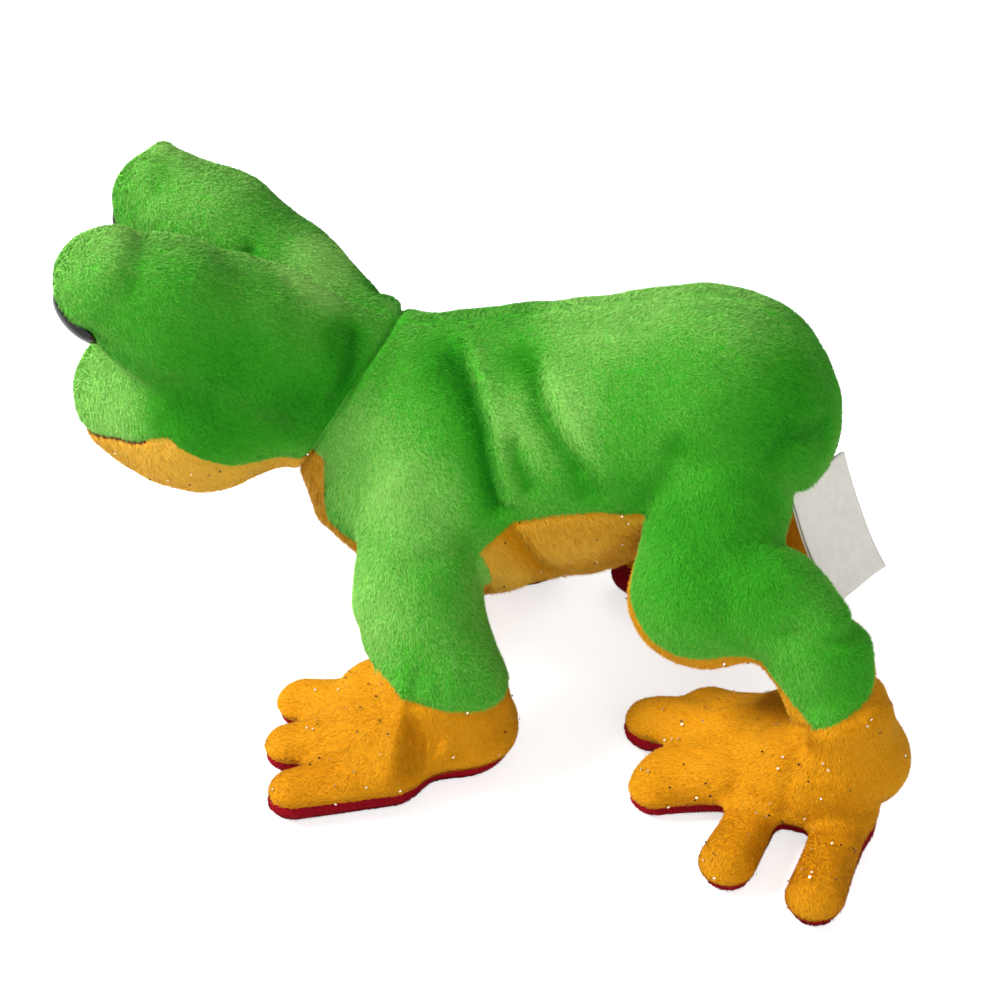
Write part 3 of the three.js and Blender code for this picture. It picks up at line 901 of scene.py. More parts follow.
@dataclass(frozen=True)
class Stand:
    """How a leg stands off the mirrored place: shifted along and out, with its foot splayed."""

    x: float = 0.0
    y: float = 0.0
    splay_degrees: float = 0.0


@dataclass(frozen=True)
class Toe:
    """A toe's root and end, in plan."""

    root_x: float
    root_y: float
    end_x: float
    end_y: float


@dataclass(frozen=True)
class Foot:
    """A foot: the lobe under the ankle, palm, instep and round-ended toes, flattened."""

    heel: Ball
    palm: Ball
    instep: Ball
    webs: tuple[Ball, ...]
    toes: tuple[Toe, ...]
    toe_radius: float
    toe_root_radius: float
    sole_heel: float
    sole_first: float
    sole_last: float
    height_share: float = 0.8
    floor_cut: float = 0.5
    softness: float = 1.6
    toe_join: float = 4.0
    lobe_drop: float = 0.0
    folds: tuple[Fold, ...] = ()

    def on_floor(self, ball: Ball) -> Ball:
        """A round part whose z is a lift, raised to stand on the floor."""
        return replace(ball, z=ball.radius * self.height_share + ball.z - self.floor_cut)


@dataclass(frozen=True)
class Limb:
    """A leg with its foot: the bones of one pair's leg, set on one side."""

    name: str
    side: Side
    stand: Stand
    root: Ball
    bones: tuple[Ball, ...]
    softness: float
    width_share: float
    cuff: tuple[float, float, float]
    cuff_lean_degrees: float
    seam_shift: float
    seam_turn: tuple[float, float]
    foot: Foot
    body_join: float
    cuff_join: float = 2.5
    folds: tuple[Fold | Crease, ...] = ()
    cuff_band: float = 4.0
    ankle_lean_degrees: float = 0.0
    ankle_start: float = 4.0
    bend_reach: float = 8.0
    cuff_groove: tuple[float, float] = (1.0, 1.6)
    inner_groove: tuple[float, float] = (0.5, 1.0)
    sole_groove: tuple[float, float] = (0.9, 1.2)

    def set_off(self, ball: Ball) -> Ball:
        """A ball of the leg on its side and shifted there."""
        return replace(ball, x=ball.x + self.stand.x, y=(ball.y + self.stand.y) * self.side.value)

    def splayed(self, ball: Ball) -> Ball:
        """A ball of the foot, turned about the ankle and then set off as the leg is."""
        x, y = turned(ball.x, ball.y, -math.radians(self.stand.splay_degrees), self.cuff)
        return self.set_off(replace(ball, x=x, y=y))

    @property
    def cuff_place(self) -> np.ndarray:
        """The middle of the cuff."""
        return self.set_off(Ball(*self.cuff, 0)).centre

    def ankle_bend(self) -> tuple[np.ndarray, np.ndarray]:
        """Where the foot's top starts and ends its bend: straight under the cuff, leaned a little.

        Returns:
            The two places.
        """
        lean = math.radians(self.ankle_lean_degrees)
        down = np.array([math.sin(lean), 0, -math.cos(lean)])
        start = self.cuff_place + down * self.ankle_start
        return start, start + down * self.bend_reach

    def seam_bend(self, ring: np.ndarray) -> tuple[np.ndarray, np.ndarray]:
        """Where the leg's fabric starts and ends its bend, past the flat plane that fits its seam best.

        Args:
            ring: the places where the leg meets the body.

        Returns:
            The last place that stays with the body, and the first that moves with the leg.
        """
        middle = ring.mean(0)
        outward = np.linalg.svd(ring - middle, full_matrices=False)[2][-1]
        outward = outward * np.sign(outward[1]) * self.side.value
        start = middle + outward * ((ring - middle) @ outward).max()
        return start, start + outward * self.bend_reach

    def leg_form(self) -> Form:
        """The leg's bones from the root down."""
        chain = [replace(self.root, y=self.root.y * self.side.value), *(self.set_off(b) for b in self.bones)]
        return Form(tuple(zip(chain[:-1], chain[1:])), self.softness, (1, self.width_share, 1))

    def palm_form(self) -> Form:
        """The foot without its toes.

        Returns:
            The form.
        """
        foot = self.foot
        heel, palm, instep = (self.splayed(foot.on_floor(b)) for b in (foot.heel, foot.palm, foot.instep))
        x, y, z = self.cuff_place
        lobe = Ball(float(x), float(y), float(z) - foot.lobe_drop, foot.heel.radius)
        bones = [(lobe, heel), (heel, palm), (heel, instep), (instep, palm)]
        bones += [(palm, self.splayed(foot.on_floor(web))) for web in foot.webs]
        return Form(tuple(bones), foot.softness, (1, 1, foot.height_share))

    def toe_forms(self) -> list[Form]:
        """One form for each toe.

        Returns:
            The forms, in the toes' order.
        """
        foot = self.foot
        forms = []
        for toe in foot.toes:
            root = self.splayed(foot.on_floor(Ball(toe.root_x, toe.root_y, 0, foot.toe_root_radius)))
            end = self.splayed(foot.on_floor(Ball(toe.end_x, toe.end_y, 0, foot.toe_radius)))
            forms.append(Form(((root, end),), foot.softness, (1, 1, foot.height_share)))
        return forms

    def foot_distance(self, places: np.ndarray) -> np.ndarray:
        """The foot with its folds, flat underneath.

        Args:
            places: one row of x, y and z for each place.

        Returns:
            The distance at each place, in millimetres.
        """
        found = self.palm_form().distance(places)
        for form in self.toe_forms():
            found = soft_union(found, form.distance(places), self.foot.toe_join)
        near = found < LIMB_NEAR
        if near.any():
            close = places[near]
            mirrored = self.in_left_frame(close)
            found[near] += sum((fold.dent(mirrored) for fold in self.foot.folds), np.float32(0))
            found[near] += groove(self.sole_values(close), *self.sole_groove)
            found[near] = np.maximum(found[near], -close[:, 2] - PILE_RISE)
        return found

    def unset(self, places: np.ndarray) -> np.ndarray:
        """Places of the leg carried back to the left side and unshifted, where its folds are given."""
        moved = places - np.array([self.stand.x, self.stand.y * self.side.value, 0], np.float32)
        return moved * np.array([1, -self.side.value, 1], np.float32)

    def in_left_frame(self, places: np.ndarray) -> np.ndarray:
        """Places of the foot carried back as the leg's are, and turned back by its splay.

        Args:
            places: one row of x, y and z for each place.

        Returns:
            The carried places.
        """
        moved = self.unset(places)
        x, y = turned(moved[:, 0], -moved[:, 1], math.radians(self.stand.splay_degrees), self.cuff)
        return np.stack([x, -y, moved[:, 2]], 1).astype(np.float32)

    def cuff_plane(self, places: np.ndarray) -> np.ndarray:
        """Distances above the plane of the cuff."""
        lean = math.radians(self.cuff_lean_degrees)
        return plane(places, self.cuff_place, (-math.sin(lean), 0, math.cos(lean)))

    def leg_distance(self, places: np.ndarray) -> np.ndarray:
        """The leg with its folds.

        Args:
            places: one row of x, y and z for each place.

        Returns:
            The distance at each place, in millimetres.
        """
        found = self.leg_form().distance(places)
        near = found < LIMB_NEAR
        if near.any():
            close = places[near]
            moved = self.unset(close)
            found[near] += sum((fold.dent(moved) for fold in self.folds), np.float32(0))
            found[near] += groove(self.inner_values(close), *self.inner_groove)
        return found

    def distance(self, places: np.ndarray) -> np.ndarray:
        """Leg and foot joined, with the cuff's seam pulled in.

        Args:
            places: one row of x, y and z for each place.

        Returns:
            The distance at each place, in millimetres.
        """
        found = soft_union(self.leg_distance(places), self.foot_distance(places), self.cuff_join)
        near = found < LIMB_NEAR
        if near.any():
            found[near] += groove(self.cuff_values(places[near]), *self.cuff_groove)
        return found

    def cuff_values(self, places: np.ndarray) -> np.ndarray:
        """Positive in the leg, negative in the foot: the cuff's plane wherever both forms are close.

        Args:
            places: one row of x, y and z for each place.

        Returns:
            One value for each place.
        """
        foot = self.palm_form().distance(places)
        for form in self.toe_forms():
            foot = np.minimum(foot, form.distance(places))
        lead = foot - self.leg_form().distance(places)
        return np.minimum(np.maximum(self.cuff_plane(places), lead - self.cuff_band), lead + self.cuff_band)

    def inner_values(self, places: np.ndarray) -> np.ndarray:
        """Positive in the leg's outer panel, on the side away from the body.

        Args:
            places: one row of x, y and z for each place.

        Returns:
            One value for each place.
        """
        start = replace(self.root, y=self.root.y * self.side.value).centre
        end = self.set_off(self.bones[-1]).centre
        outward = np.cross(end - start, [1, 0, 0])
        outward *= np.sign(outward[1]) * self.side.value
        middle = self.set_off(self.bones[0]).centre
        offset = places - middle
        shift = self.seam_shift - self.seam_turn[0] * offset[:, 0] - self.seam_turn[1] * offset[:, 2]
        return plane(places, end, outward) - shift

    def sole_values(self, places: np.ndarray) -> np.ndarray:
        """Positive in the foot's top panel: above the plane through the heel and the outer toes.

        Args:
            places: one row of x, y and z for each place.

        Returns:
            One value for each place.
        """
        foot = self.foot
        heel = self.splayed(replace(foot.heel, z=foot.sole_heel)).centre
        tips = [
            self.splayed(Ball(toe.end_x, toe.end_y, height, 0)).centre
            for toe, height in ((foot.toes[0], foot.sole_first), (foot.toes[-1], foot.sole_last))
        ]
        normal = np.cross(tips[0] - heel, tips[1] - heel)
        return plane(places, heel, normal * np.sign(normal[2]))


FRONT_FOOT = Foot(
    heel=Ball(1, 46, 0.4, 14.5),
    palm=Ball(-14, 56, 0.4, 14.0),
    instep=Ball(-20, 43, 3.6, 12.5),
    webs=(Ball(-33, 45.5, 0, 8.8), Ball(-29, 60, 0, 9)),
    toes=(Toe(-26, 41, -43.5, 41.5), Toe(-25, 55, -40.5, 60), Toe(-12, 66, -33.5, 78)),
    toe_radius=8.1,
    toe_root_radius=9.5,
    sole_heel=6.0,
    sole_first=4.6,
    sole_last=6.2,
    folds=(
        Fold(((-4, -76), (-5, -62), (-6, -48)), 3.0, 2.4, Axis.UP, 1, 9, 6),
        Fold(((-9.5, -74), (-9.5, -62), (-10, -52)), -1.8, 3.0, Axis.UP, 1, 8, 6),
        Fold(((-1, -66), (0, -60), (-1, -54)), 1.2, 1.5, Axis.UP, 1, 12, 5),
        Fold(((5, -66), (6, -60), (8, -53)), 1.2, 1.7, Axis.UP, 1, 9, 5),
        Fold(((-47, -48), (-41, -48), (-33, -48), (-29, -42)), 1.3, 2.2, Axis.UP, 1, 6, 4),
        Fold(((-37, -68), (-30, -64), (-23, -66), (-18, -60)), 1.5, 2.2, Axis.UP, 1, 6, 4),
    ),
)
HIND_FOOT = Foot(
    heel=Ball(104, 43, 10, 13),
    palm=Ball(93, 42, 2, 15),
    instep=Ball(87, 34, 6, 12.5),
    webs=(
        Ball(77, 22, 1, 9.5), Ball(71, 33, 0, 9.5), Ball(64, 42, 0, 8.8), Ball(82, 45, 0, 10),
        Ball(93, 47, 0, 9.5), Ball(103, 52, 0, 8.5), Ball(58, 47, 0, 8.5), Ball(88, 24, 5, 11),
        Ball(64, 19, 1.4, 8.2), Ball(51, 25.5, 1.2, 8.1),
    ),
    toes=(Toe(80, 11, 49, 26.5), Toe(75, 43, 55.5, 52.5), Toe(82, 52, 78.5, 76), Toe(104.5, 50, 101, 83)),
    toe_radius=7.8,
    toe_root_radius=7.4,
    sole_heel=6.6,
    sole_first=6.8,
    sole_last=3.8,
    lobe_drop=4.0,
    folds=(
        Fold(((75, -49), (80, -44), (86, -40)), 0.9, 2.4, Axis.UP, 1, 8, 5),
        Fold(((78, -62), (76, -55), (79, -50)), 1.2, 2.2, Axis.UP, 1, 8, 5),
        Fold(((91, -66), (90, -58), (92, -50)), 1.3, 2.2, Axis.UP, 1, 8, 5),
        Fold(((66, -29), (72, -28), (79, -29)), 0.7, 2.6, Axis.UP, 1, 8, 5),
        Fold(((104, -52), (108, -46), (110, -40)), 0.9, 2.6, Axis.UP, 1, 8, 5),
    ),
)

# The right foot's first toe lies otherwise, without the left one's two fillings.
RIGHT_HIND_FOOT = replace(
    HIND_FOOT,
    webs=HIND_FOOT.webs[:-2],
    toes=(Toe(80, 18, 53, 32), Toe(75, 43, 55.5, 52.5), Toe(82, 52, 76, 76), Toe(104.5, 50, 97, 81)),
    sole_first=9.5,
)


def front_limb(side: Side, stand: Stand) -> Limb:
    """A front leg.

    Args:
        side: which side of the frog it is on.
        stand: how it stands off the mirrored place.

    Returns:
        The limb.
    """
    return Limb(
        name=f"{side.name.lower()}_front",
        side=side,
        stand=stand,
        root=Ball(-14, 24, 65, 17),
        bones=(Ball(-13, 36.5, 43, 15.4), Ball(-3, 46, 22, 18.3)),
        softness=3.0,
        width_share=0.85,
        cuff=(-3, 46, 26.5),
        cuff_lean_degrees=-10,
        ankle_lean_degrees=-6,
        seam_shift=-5,
        seam_turn=(0.0, 0.0),
        foot=FRONT_FOOT,
        body_join=5,
        folds=(
            Fold(((-24, 36), (-14, 34), (-4, 35)), 0.8, 3.2),
            Crease(((-11, -35, 76), (-4, -36, 69), (3, -32, 60)), 1.6, 2.6),
            Fold(((-12, 58), (-4, 60), (4, 64)), 1.2, 3.0),
        ),
    )


def hind_limb(side: Side, stand: Stand, foot: Foot) -> Limb:
    """A hind leg.

    Args:
        side: which side of the frog it is on.
        stand: how it stands off the mirrored place.
        foot: its foot.

    Returns:
        The limb.
    """
    return Limb(
        name=f"{side.name.lower()}_hind",
        side=side,
        stand=stand,
        root=Ball(63, 22.5, 77, 18.5),
        bones=(
            Ball(61.5, 36, 55, 17.2), Ball(79, 37.5, 59, 14),
            Ball(92.5, 41.5, 49.5, 12.6), Ball(97.5, 44, 35.5, 12),
        ),
        softness=2.0,
        width_share=0.78,
        cuff=(100.5, 44, 38),
        cuff_lean_degrees=32,
        ankle_lean_degrees=12,
        ankle_start=5,
        seam_shift=4.8,
        seam_turn=(0.1, 0.3),
        foot=foot,
        body_join=2.6,
        folds=(
            Fold(((86, 59), (94, 56.5), (106, 58)), 2.0, 2.4),
            Fold(((58, 78), (66, 70), (70, 62)), 0.8, 4.0),
            HIP_CREASE,
            Fold(((70, 60), (76, 52), (80, 48)), 0.8, 3.4),
        ),
    )


LIMBS = (
    front_limb(Side.LEFT, Stand()),
    front_limb(Side.RIGHT, Stand(-6, -1)),
    hind_limb(Side.LEFT, Stand(), HIND_FOOT),
    hind_limb(Side.RIGHT, Stand(-22, 4, 10), RIGHT_HIND_FOOT),
)


# Pile

@dataclass(frozen=True)
class Pile:
    """Short plush pile: tapered strands that lean along the nap.

    A strand is one thin triangle. Its root lies on the skin, square across the nap, and its tip is a
    length away along the nap leaned up from the skin. Lengths, leans and directions vary from strand
    to strand. Its normals are the skin's, tipped a little towards its own side, so that light runs
    over the pile as it does over cloth.
    """

    density: float = 12.0
    length: float = 1.3
    width: float = 0.24
    lean_degrees: float = 24.0
    stray: float = 0.42
    own_normal: float = 0.3
    floor_gap: float = 0.05
    most: int = 150_000

    def grow(self, panel: "Panel", seed: int) -> "Strands":
        """Grows strands on a panel.

        Args:
            panel: the panel.
            seed: starts the random numbers, so that every run is the same.

        Returns:
            The strands.
        """
        chance = np.random.default_rng(seed)
        skin = panel.skin
        wanted = skin.areas().sum() * self.density
        count = int(min(wanted / (1), self.most))
        spread = math.sqrt(wanted / max(count, 1))
        corners = skin.pick(chance, count)
        shares = chance.dirichlet((1, 1, 1), count).astype(np.float32)
        root = (skin.places[corners] * shares[:, :, None]).sum(1)
        normal = (skin.normals[corners] * shares[:, :, None]).sum(1)
        normal = unit(normal)
        way = panel.nap(root) + chance.normal(0, self.stray, (count, 3))
        way -= (way * normal).sum(1, keepdims=True) * normal
        way = unit(way)
        lean = np.radians(self.lean_degrees * chance.uniform(0.5, 1.6, count))[:, None]
        long = self.length * (chance.uniform(0.6, 1.2, count) * panel.cut(root))[:, None]
        tip = root + long * (np.cos(lean) * way + np.sin(lean) * normal)
        across = np.cross(normal, way) * self.width / 2 * spread
        twist = chance.normal(0, 0.3, (count, 1)) * self.width / 2 * spread * normal
        places = np.stack([root + across + twist, root - across - twist, tip], 1).reshape(-1, 3)
        places[:, 2] = np.maximum(places[:, 2], self.floor_gap)
        own = unit(normal + chance.normal(0, self.own_normal, (count, 3)))
        return Strands(places, np.repeat(own, 3, 0), chance.random(count))


@dataclass
class Strands:
    """Grown strands: corners in the order root, root and tip, their normals, and one random number each."""

    places: np.ndarray
    normals: np.ndarray
    chance: np.ndarray


@dataclass(frozen=True)
class Foil:
    """Little six-sided foil dots stuck among the pile, each tilted its own way."""

    spacing: float = 7.4
    radius: float = 0.33
    lift: float = 0.7
    tilt: float = 0.35
    floor_gap: float = 0.06

    def scatter(self, skin: Surface, seed: int) -> "Dots":
        """Lays dots on a panel: a centre and six corners at even angles, in a plane near the skin's.

        Args:
            skin: the panel's skin.
            seed: starts the random numbers.

        Returns:
            The dots.
        """
        chance = np.random.default_rng(seed)
        count = max(int(skin.areas().sum() / self.spacing**2), 1)
        corners = skin.pick(chance, count)
        middle, normal = skin.places[corners].mean(1), skin.normals[corners].mean(1)
        facing = unit(normal + chance.normal(0, self.tilt, (count, 3)))
        across = unit(np.cross(facing, chance.normal(0, 1, (count, 3))))
        ahead = np.cross(facing, across)
        turn = np.arange(6) * math.pi / 3
        rim = across[:, None] * np.cos(turn)[:, None] + ahead[:, None] * np.sin(turn)[:, None]
        middle = middle + normal * self.lift
        places = np.concatenate([middle[:, None], middle[:, None] + rim * self.radius], 1).reshape(-1, 3)
        places[:, 2] = np.maximum(places[:, 2], self.floor_gap)
        wedge = np.stack([np.zeros(6, int), np.arange(6) + 1, (np.arange(6) + 1) % 6 + 1], 1)
        triangles = (np.arange(count)[:, None, None] * 7 + wedge).reshape(-1, 3)
        return Dots(places, np.repeat(facing, 7, 0), triangles, np.repeat(chance.random(count), 7))


@dataclass
class Dots:
    """Foil dots: seven places each, their normals, six triangles each, and a random number at each place."""

    places: np.ndarray
    normals: np.ndarray
    triangles: np.ndarray
    chance: np.ndarray


@dataclass(frozen=True)
class Nap:
    """The way that pile lies: one direction, or away from a place along each axis by a share."""

    way: tuple[float, float, float]
    away_from: tuple[float, float, float] | None = None

    def __call__(self, places: np.ndarray) -> np.ndarray:
        """The direction at each place.

        Args:
            places: one row of x, y and z for each place.

        Returns:
            One row for each place, of any length.
        """
        if self.away_from is None:
            return np.tile(self.way, (len(places), 1))
        return (places - self.away_from) * self.way


@dataclass(frozen=True)
class ToneWithPaintedLight:
    """A level that lifts or darkens a panel's dyed colour, and patches of painted light and shade, partly
    where the nap lies otherwise, the same on both sides of the frog.

    Each patch fades as exp(-(distance / radius) to the fourth), so that it is even inside with a soft edge.
    """

    base: float = 0.0
    patches: tuple[tuple[Ball, float], ...] = ()

    def __call__(self, places: np.ndarray) -> np.ndarray:
        """How much lighter the pile is at each place.

        Args:
            places: one row of x, y and z for each place.

        Returns:
            One number for each place, below 0 where it is darker.
        """
        found = np.full(len(places), self.base)
        folded = places * [1, -1, 1] * np.sign(places[:, 1:2] + 1e-6) ** [0, 1, 0]
        for patch, strength in self.patches:
            found += strength * np.exp(-(((folded - patch.centre) ** 2).sum(1) / patch.radius**2) ** 2)
        return found


# Painted light on faces turned to the key lamp, such as the snout, chest and back, and painted shade on faces
# turned away, such as the cheek, thigh and rump, partly where the nap lies otherwise.
HEAD_TONE_AND_PAINTED_LIGHT = ToneWithPaintedLight(0.08, (
    (Ball(-104, -29, 86, 22), 0.6), (Ball(-103, -31, 130, 17), 0.36), (Ball(-90, -17, 131, 21), 0.32),
    (Ball(-60, -42, 94, 21), -0.5), (Ball(-42, -24, 88, 14), -0.5), (Ball(-39, -16, 102, 8), -0.5),
    (Ball(-73, -44, 122, 14), -0.1), (Ball(-52, -9, 111, 11), 0.6),
))
BODY_TONE_AND_PAINTED_LIGHT = ToneWithPaintedLight(0.06, (
    (Ball(-32, -30, 76, 19), 0.42), (Ball(-12, -38, 72, 14), 0.3), (Ball(-7, -17, 101, 9), -0.05),
    (Ball(19, -27, 97, 14), 0.45), (Ball(28, -2, 117, 20), 0.5), (Ball(56, -4, 122, 16), 0.3),
    (Ball(85, -15, 100, 17), -0.45), (Ball(68, -30, 98, 12), -0.15), (Ball(44, -34, 80, 12), -0.15),
    (Ball(-22, -46, 45, 16), 0.42), (Ball(8, -46, 42, 13), 0.1), (Ball(70, -42, 74, 20), -0.3),
    (Ball(54, -48, 52, 11), -0.05), (Ball(104, -46, 52, 12), -0.25),
))
BELLY_TONE = ToneWithPaintedLight(0.2)
PLAIN_TONE = ToneWithPaintedLight()
FOOT_TONE = ToneWithPaintedLight(-0.12)
JAW_TONE = ToneWithPaintedLight(0.6)
LIP_TONE = ToneWithPaintedLight(-0.4)


@dataclass
class Panel:
    """One piece of fabric: its skin, what it stands for and how it is dressed."""

    name: str
    nodes: tuple[str, ...]
    slot: Slot
    skin: Surface
    nap: Callable[[np.ndarray], np.ndarray]
    tone: Callable[[np.ndarray], np.ndarray]
    cut: Callable[[np.ndarray], np.ndarray]


def mesh_of(name: str, places: np.ndarray, triangles: np.ndarray) -> bpy.types.Mesh:
    """A Blender mesh of smooth triangles.

    Args:
        name: the mesh's name.
        places: corners in the frog's millimetres.
        triangles: three corner numbers in each row.

    Returns:
        The mesh, in the row's metres.
    """
    mesh = bpy.data.meshes.new(name)
    mesh.vertices.add(len(places))
    mesh.vertices.foreach_set("co", ROW.metres(places).astype(np.float32).ravel())
    mesh.loops.add(triangles.size)
    mesh.loops.foreach_set("vertex_index", triangles.astype(np.int32).ravel())
    mesh.polygons.add(len(triangles))
    mesh.polygons.foreach_set("loop_start", np.arange(0, triangles.size, 3, dtype=np.int32))
    mesh.polygons.foreach_set("use_smooth", np.ones(len(triangles), bool))
    mesh.update(calc_edges=True)
    return mesh


def bake_map(mesh: bpy.types.Mesh, skin: np.ndarray, triangles: np.ndarray, strands: int) -> None:
    """Lays the piece out flat in a UV map named OFBake.

    The skin's corners go into the lower third by their place from above or from the side. Each strand
    has a small triangle of its own in a square grid over the rest.

    Args:
        mesh: the mesh, whose skin's triangles come first and then its strands'.
        skin: the skin's places.
        triangles: the skin's triangles.
        strands: how many strands follow.
    """
    low, high = skin.min(0), skin.max(0)
    share = (skin - low) / (high - low)
    flat = np.stack([share[:, 0], (share[:, 1] + share[:, 2]) / 2 * 0.3], 1)
    side = math.ceil(math.sqrt(strands))
    row, column = np.divmod(np.arange(strands), side)
    cell = np.stack([column / side, 0.32 + row / side * 0.67], 1)
    corner = np.array([[0.15, 0.15], [0.85, 0.15], [0.5, 0.85]]) / side * [1, 0.67]
    blades = (cell[:, None] + corner).reshape(-1, 2)
    uv = mesh.uv_layers.new(name="OFBake")
    laid = np.concatenate([flat[triangles.ravel()], blades]).astype(np.float32)
    rest = len(mesh.loops) - len(laid)
    laid = np.concatenate([laid, np.tile(np.float32([0.99, 0.31]), (rest, 1))])
    uv.data.foreach_set("uv", laid.ravel())


def paint(mesh: bpy.types.Mesh, name: str, values: np.ndarray) -> None:
    """Stores one number for each corner place as an attribute that materials read."""
    attribute = mesh.attributes.new(name, "FLOAT", "POINT")
    attribute.data.foreach_set("value", values.astype(np.float32))


def show(mesh: bpy.types.Mesh) -> bpy.types.Object:
    """Puts a mesh into the scene as an object at the origin.

    Args:
        mesh: the mesh.

    Returns:
        The object.
    """
    piece = bpy.data.objects.new(mesh.name, mesh)
    bpy.context.scene.collection.objects.link(piece)
    return piece


# Finishes

def group_socket(tree: bpy.types.NodeTree, name: str, kind: str, way: str, value: object = None) -> None:
    """Gives a node group a named socket.

    Args:
        tree: the group.
        name: the socket's name.
        kind: its type, such as NodeSocketFloat.
        way: INPUT or OUTPUT.
        value: the input's usual value.
    """
    socket = tree.interface.new_socket(name=name, in_out=way, socket_type=kind)
    if value is not None:
        socket.default_value = value


class Nodes:
    """Short ways to add and link nodes in one tree."""

    def __init__(self, tree: bpy.types.NodeTree) -> None:
        """Keeps the tree that nodes go into."""
        self.tree = tree

    def add(self, kind: str, **settings: object) -> bpy.types.Node:
        """Adds a node and sets its own settings.

        Args:
            kind: the node's type.
            settings: its own settings by name.

        Returns:
            The node.
        """
        node = self.tree.nodes.new(kind)
        for name, value in settings.items():
            setattr(node, name, value)
        return node

    def feed(self, node: bpy.types.Node, **inputs: object) -> bpy.types.Node:
        """Sets or links a node's inputs by name, with underscores for spaces.

        Args:
            node: the node.
            inputs: a number, a colour or another node's socket for each input.

        Returns:
            The node.
        """
        for name, value in inputs.items():
            self.put(node, name.replace("_", " "), value)
        return node

    def put(self, node: bpy.types.Node, key: str | int, value: object) -> None:
        """Sets one input to a number, or links it from another node's socket.

        Args:
            node: the node.
            key: the input's name or number.
            value: the number or the socket.
        """
        if isinstance(value, bpy.types.NodeSocket):
            self.tree.links.new(value, node.inputs[key])
        else:
            node.inputs[key].default_value = value

    def maths(self, operation: str, first: object, second: object = 0.0) -> bpy.types.NodeSocket:
        """A maths node's result.

        Args:
            operation: its name.
            first: a number or a socket.
            second: a number or a socket.

        Returns:
            The socket of its result.
        """
        node = self.add("ShaderNodeMath", operation=operation)
        self.put(node, 0, first)
        self.put(node, 1, second)
        return node.outputs[0]

    def blend(self, share: object, first: object, second: object) -> bpy.types.NodeSocket:
        """A mix of two colours.

        Args:
            share: how much of the second colour.
            first: a colour or a socket.
            second: a colour or a socket.

        Returns:
            The socket of the mix.
        """
        node = self.add("ShaderNodeMix", data_type="RGBA")
        self.put(node, 0, share)
        self.put(node, 6, first)
        self.put(node, 7, second)
        return node.outputs[2]

    def ramp(self, value: object, low: float, high: float) -> bpy.types.NodeSocket:
        """A value run from 0 at low to 1 at high.

        Args:
            value: the value.
            low: where it starts.
            high: where it ends.

        Returns:
            The socket of its result.
        """
        node = self.add("ShaderNodeMapRange", interpolation_type="SMOOTHSTEP")
        self.put(node, 0, value)
        self.put(node, 1, low)
        self.put(node, 2, high)
        return node.outputs[0]

    def painted(self, name: str) -> bpy.types.NodeSocket:
        """The number that a mesh stores at each corner under a name."""
        return self.add("ShaderNodeAttribute", attribute_name=name).outputs["Fac"]

    def about_zero(self, value: object, strength: object) -> bpy.types.NodeSocket:
        """A value of 0 to 1 less a half, times its strength."""
        return self.maths("MULTIPLY", self.maths("SUBTRACT", value, 0.5), strength)

    def noise(self, size: object, detail: float, roughness: float = 0.5) -> bpy.types.NodeSocket:
        """Noise over the object's own places.

        Args:
            size: how many of its grains go into a metre.
            detail: how many finer layers it has.
            roughness: how strong the finer layers are.

        Returns:
            Its value, around a half.
        """
        places = self.add("ShaderNodeTexCoord").outputs["Object"]
        grain = self.add("ShaderNodeTexNoise")
        self.feed(grain, Vector=places, Scale=size, Detail=detail, Roughness=roughness)
        return grain.outputs["Fac"]

    def seen_plainly(self) -> bpy.types.NodeSocket:
        """Which rays see a thing as itself: the camera's, mirrored ones and those through clear things.

        Returns:
            1 for those rays and 0 for the light that it throws.
        """
        path = self.add("ShaderNodeLightPath").outputs
        seen = self.maths("MAXIMUM", path["Is Camera Ray"], path["Is Glossy Ray"])
        return self.maths("MAXIMUM", seen, path["Is Transmission Ray"])


def start_material(name: str) -> tuple[bpy.types.Material, Nodes, bpy.types.Node]:
    """Starts a material.

    Args:
        name: what it finishes.

    Returns:
        The material, its nodes and its shader.
    """
    made = bpy.data.materials.new(f"{name}_finish")
    made.use_nodes = True
    return made, Nodes(made.node_tree), made.node_tree.nodes["Principled BSDF"]


def pile_group() -> bpy.types.NodeTree:
    """The colour of pile: dark at the root, pale at the tip, in patches, from strand to strand, and by each
    mesh's painted light and shade.

    Returns:
        The node group.
    """
    tree = bpy.data.node_groups.new("pile_colour", "ShaderNodeTree")
    for name in ("Root", "Body", "Tip"):
        group_socket(tree, name, "NodeSocketColor", "INPUT", (0.5, 0.5, 0.5, 1))
    for name, usual in (("Patch Size", 60.0), ("Patch Strength", 0.3), ("Strand Strength", 0.26)):
        group_socket(tree, name, "NodeSocketFloat", "INPUT", usual)
    group_socket(tree, "Colour", "NodeSocketColor", "OUTPUT")
    nodes = Nodes(tree)
    given = nodes.add("NodeGroupInput").outputs
    height, strand, tone = (nodes.painted(name) for name in ("height", "strand", "tone"))
    drift = nodes.about_zero(nodes.noise(given["Patch Size"], 3.0, 0.6), given["Patch Strength"])
    own = nodes.about_zero(strand, given["Strand Strength"])
    level = nodes.maths("ADD", nodes.maths("ADD", height, drift), nodes.maths("ADD", own, tone))
    lower = nodes.blend(nodes.ramp(level, -0.3, 0.5), given["Root"], given["Body"])
    upper = nodes.blend(nodes.ramp(level, 0.45, 1.5), lower, given["Tip"])
    nodes.put(nodes.add("NodeGroupOutput"), 0, upper)
    return tree


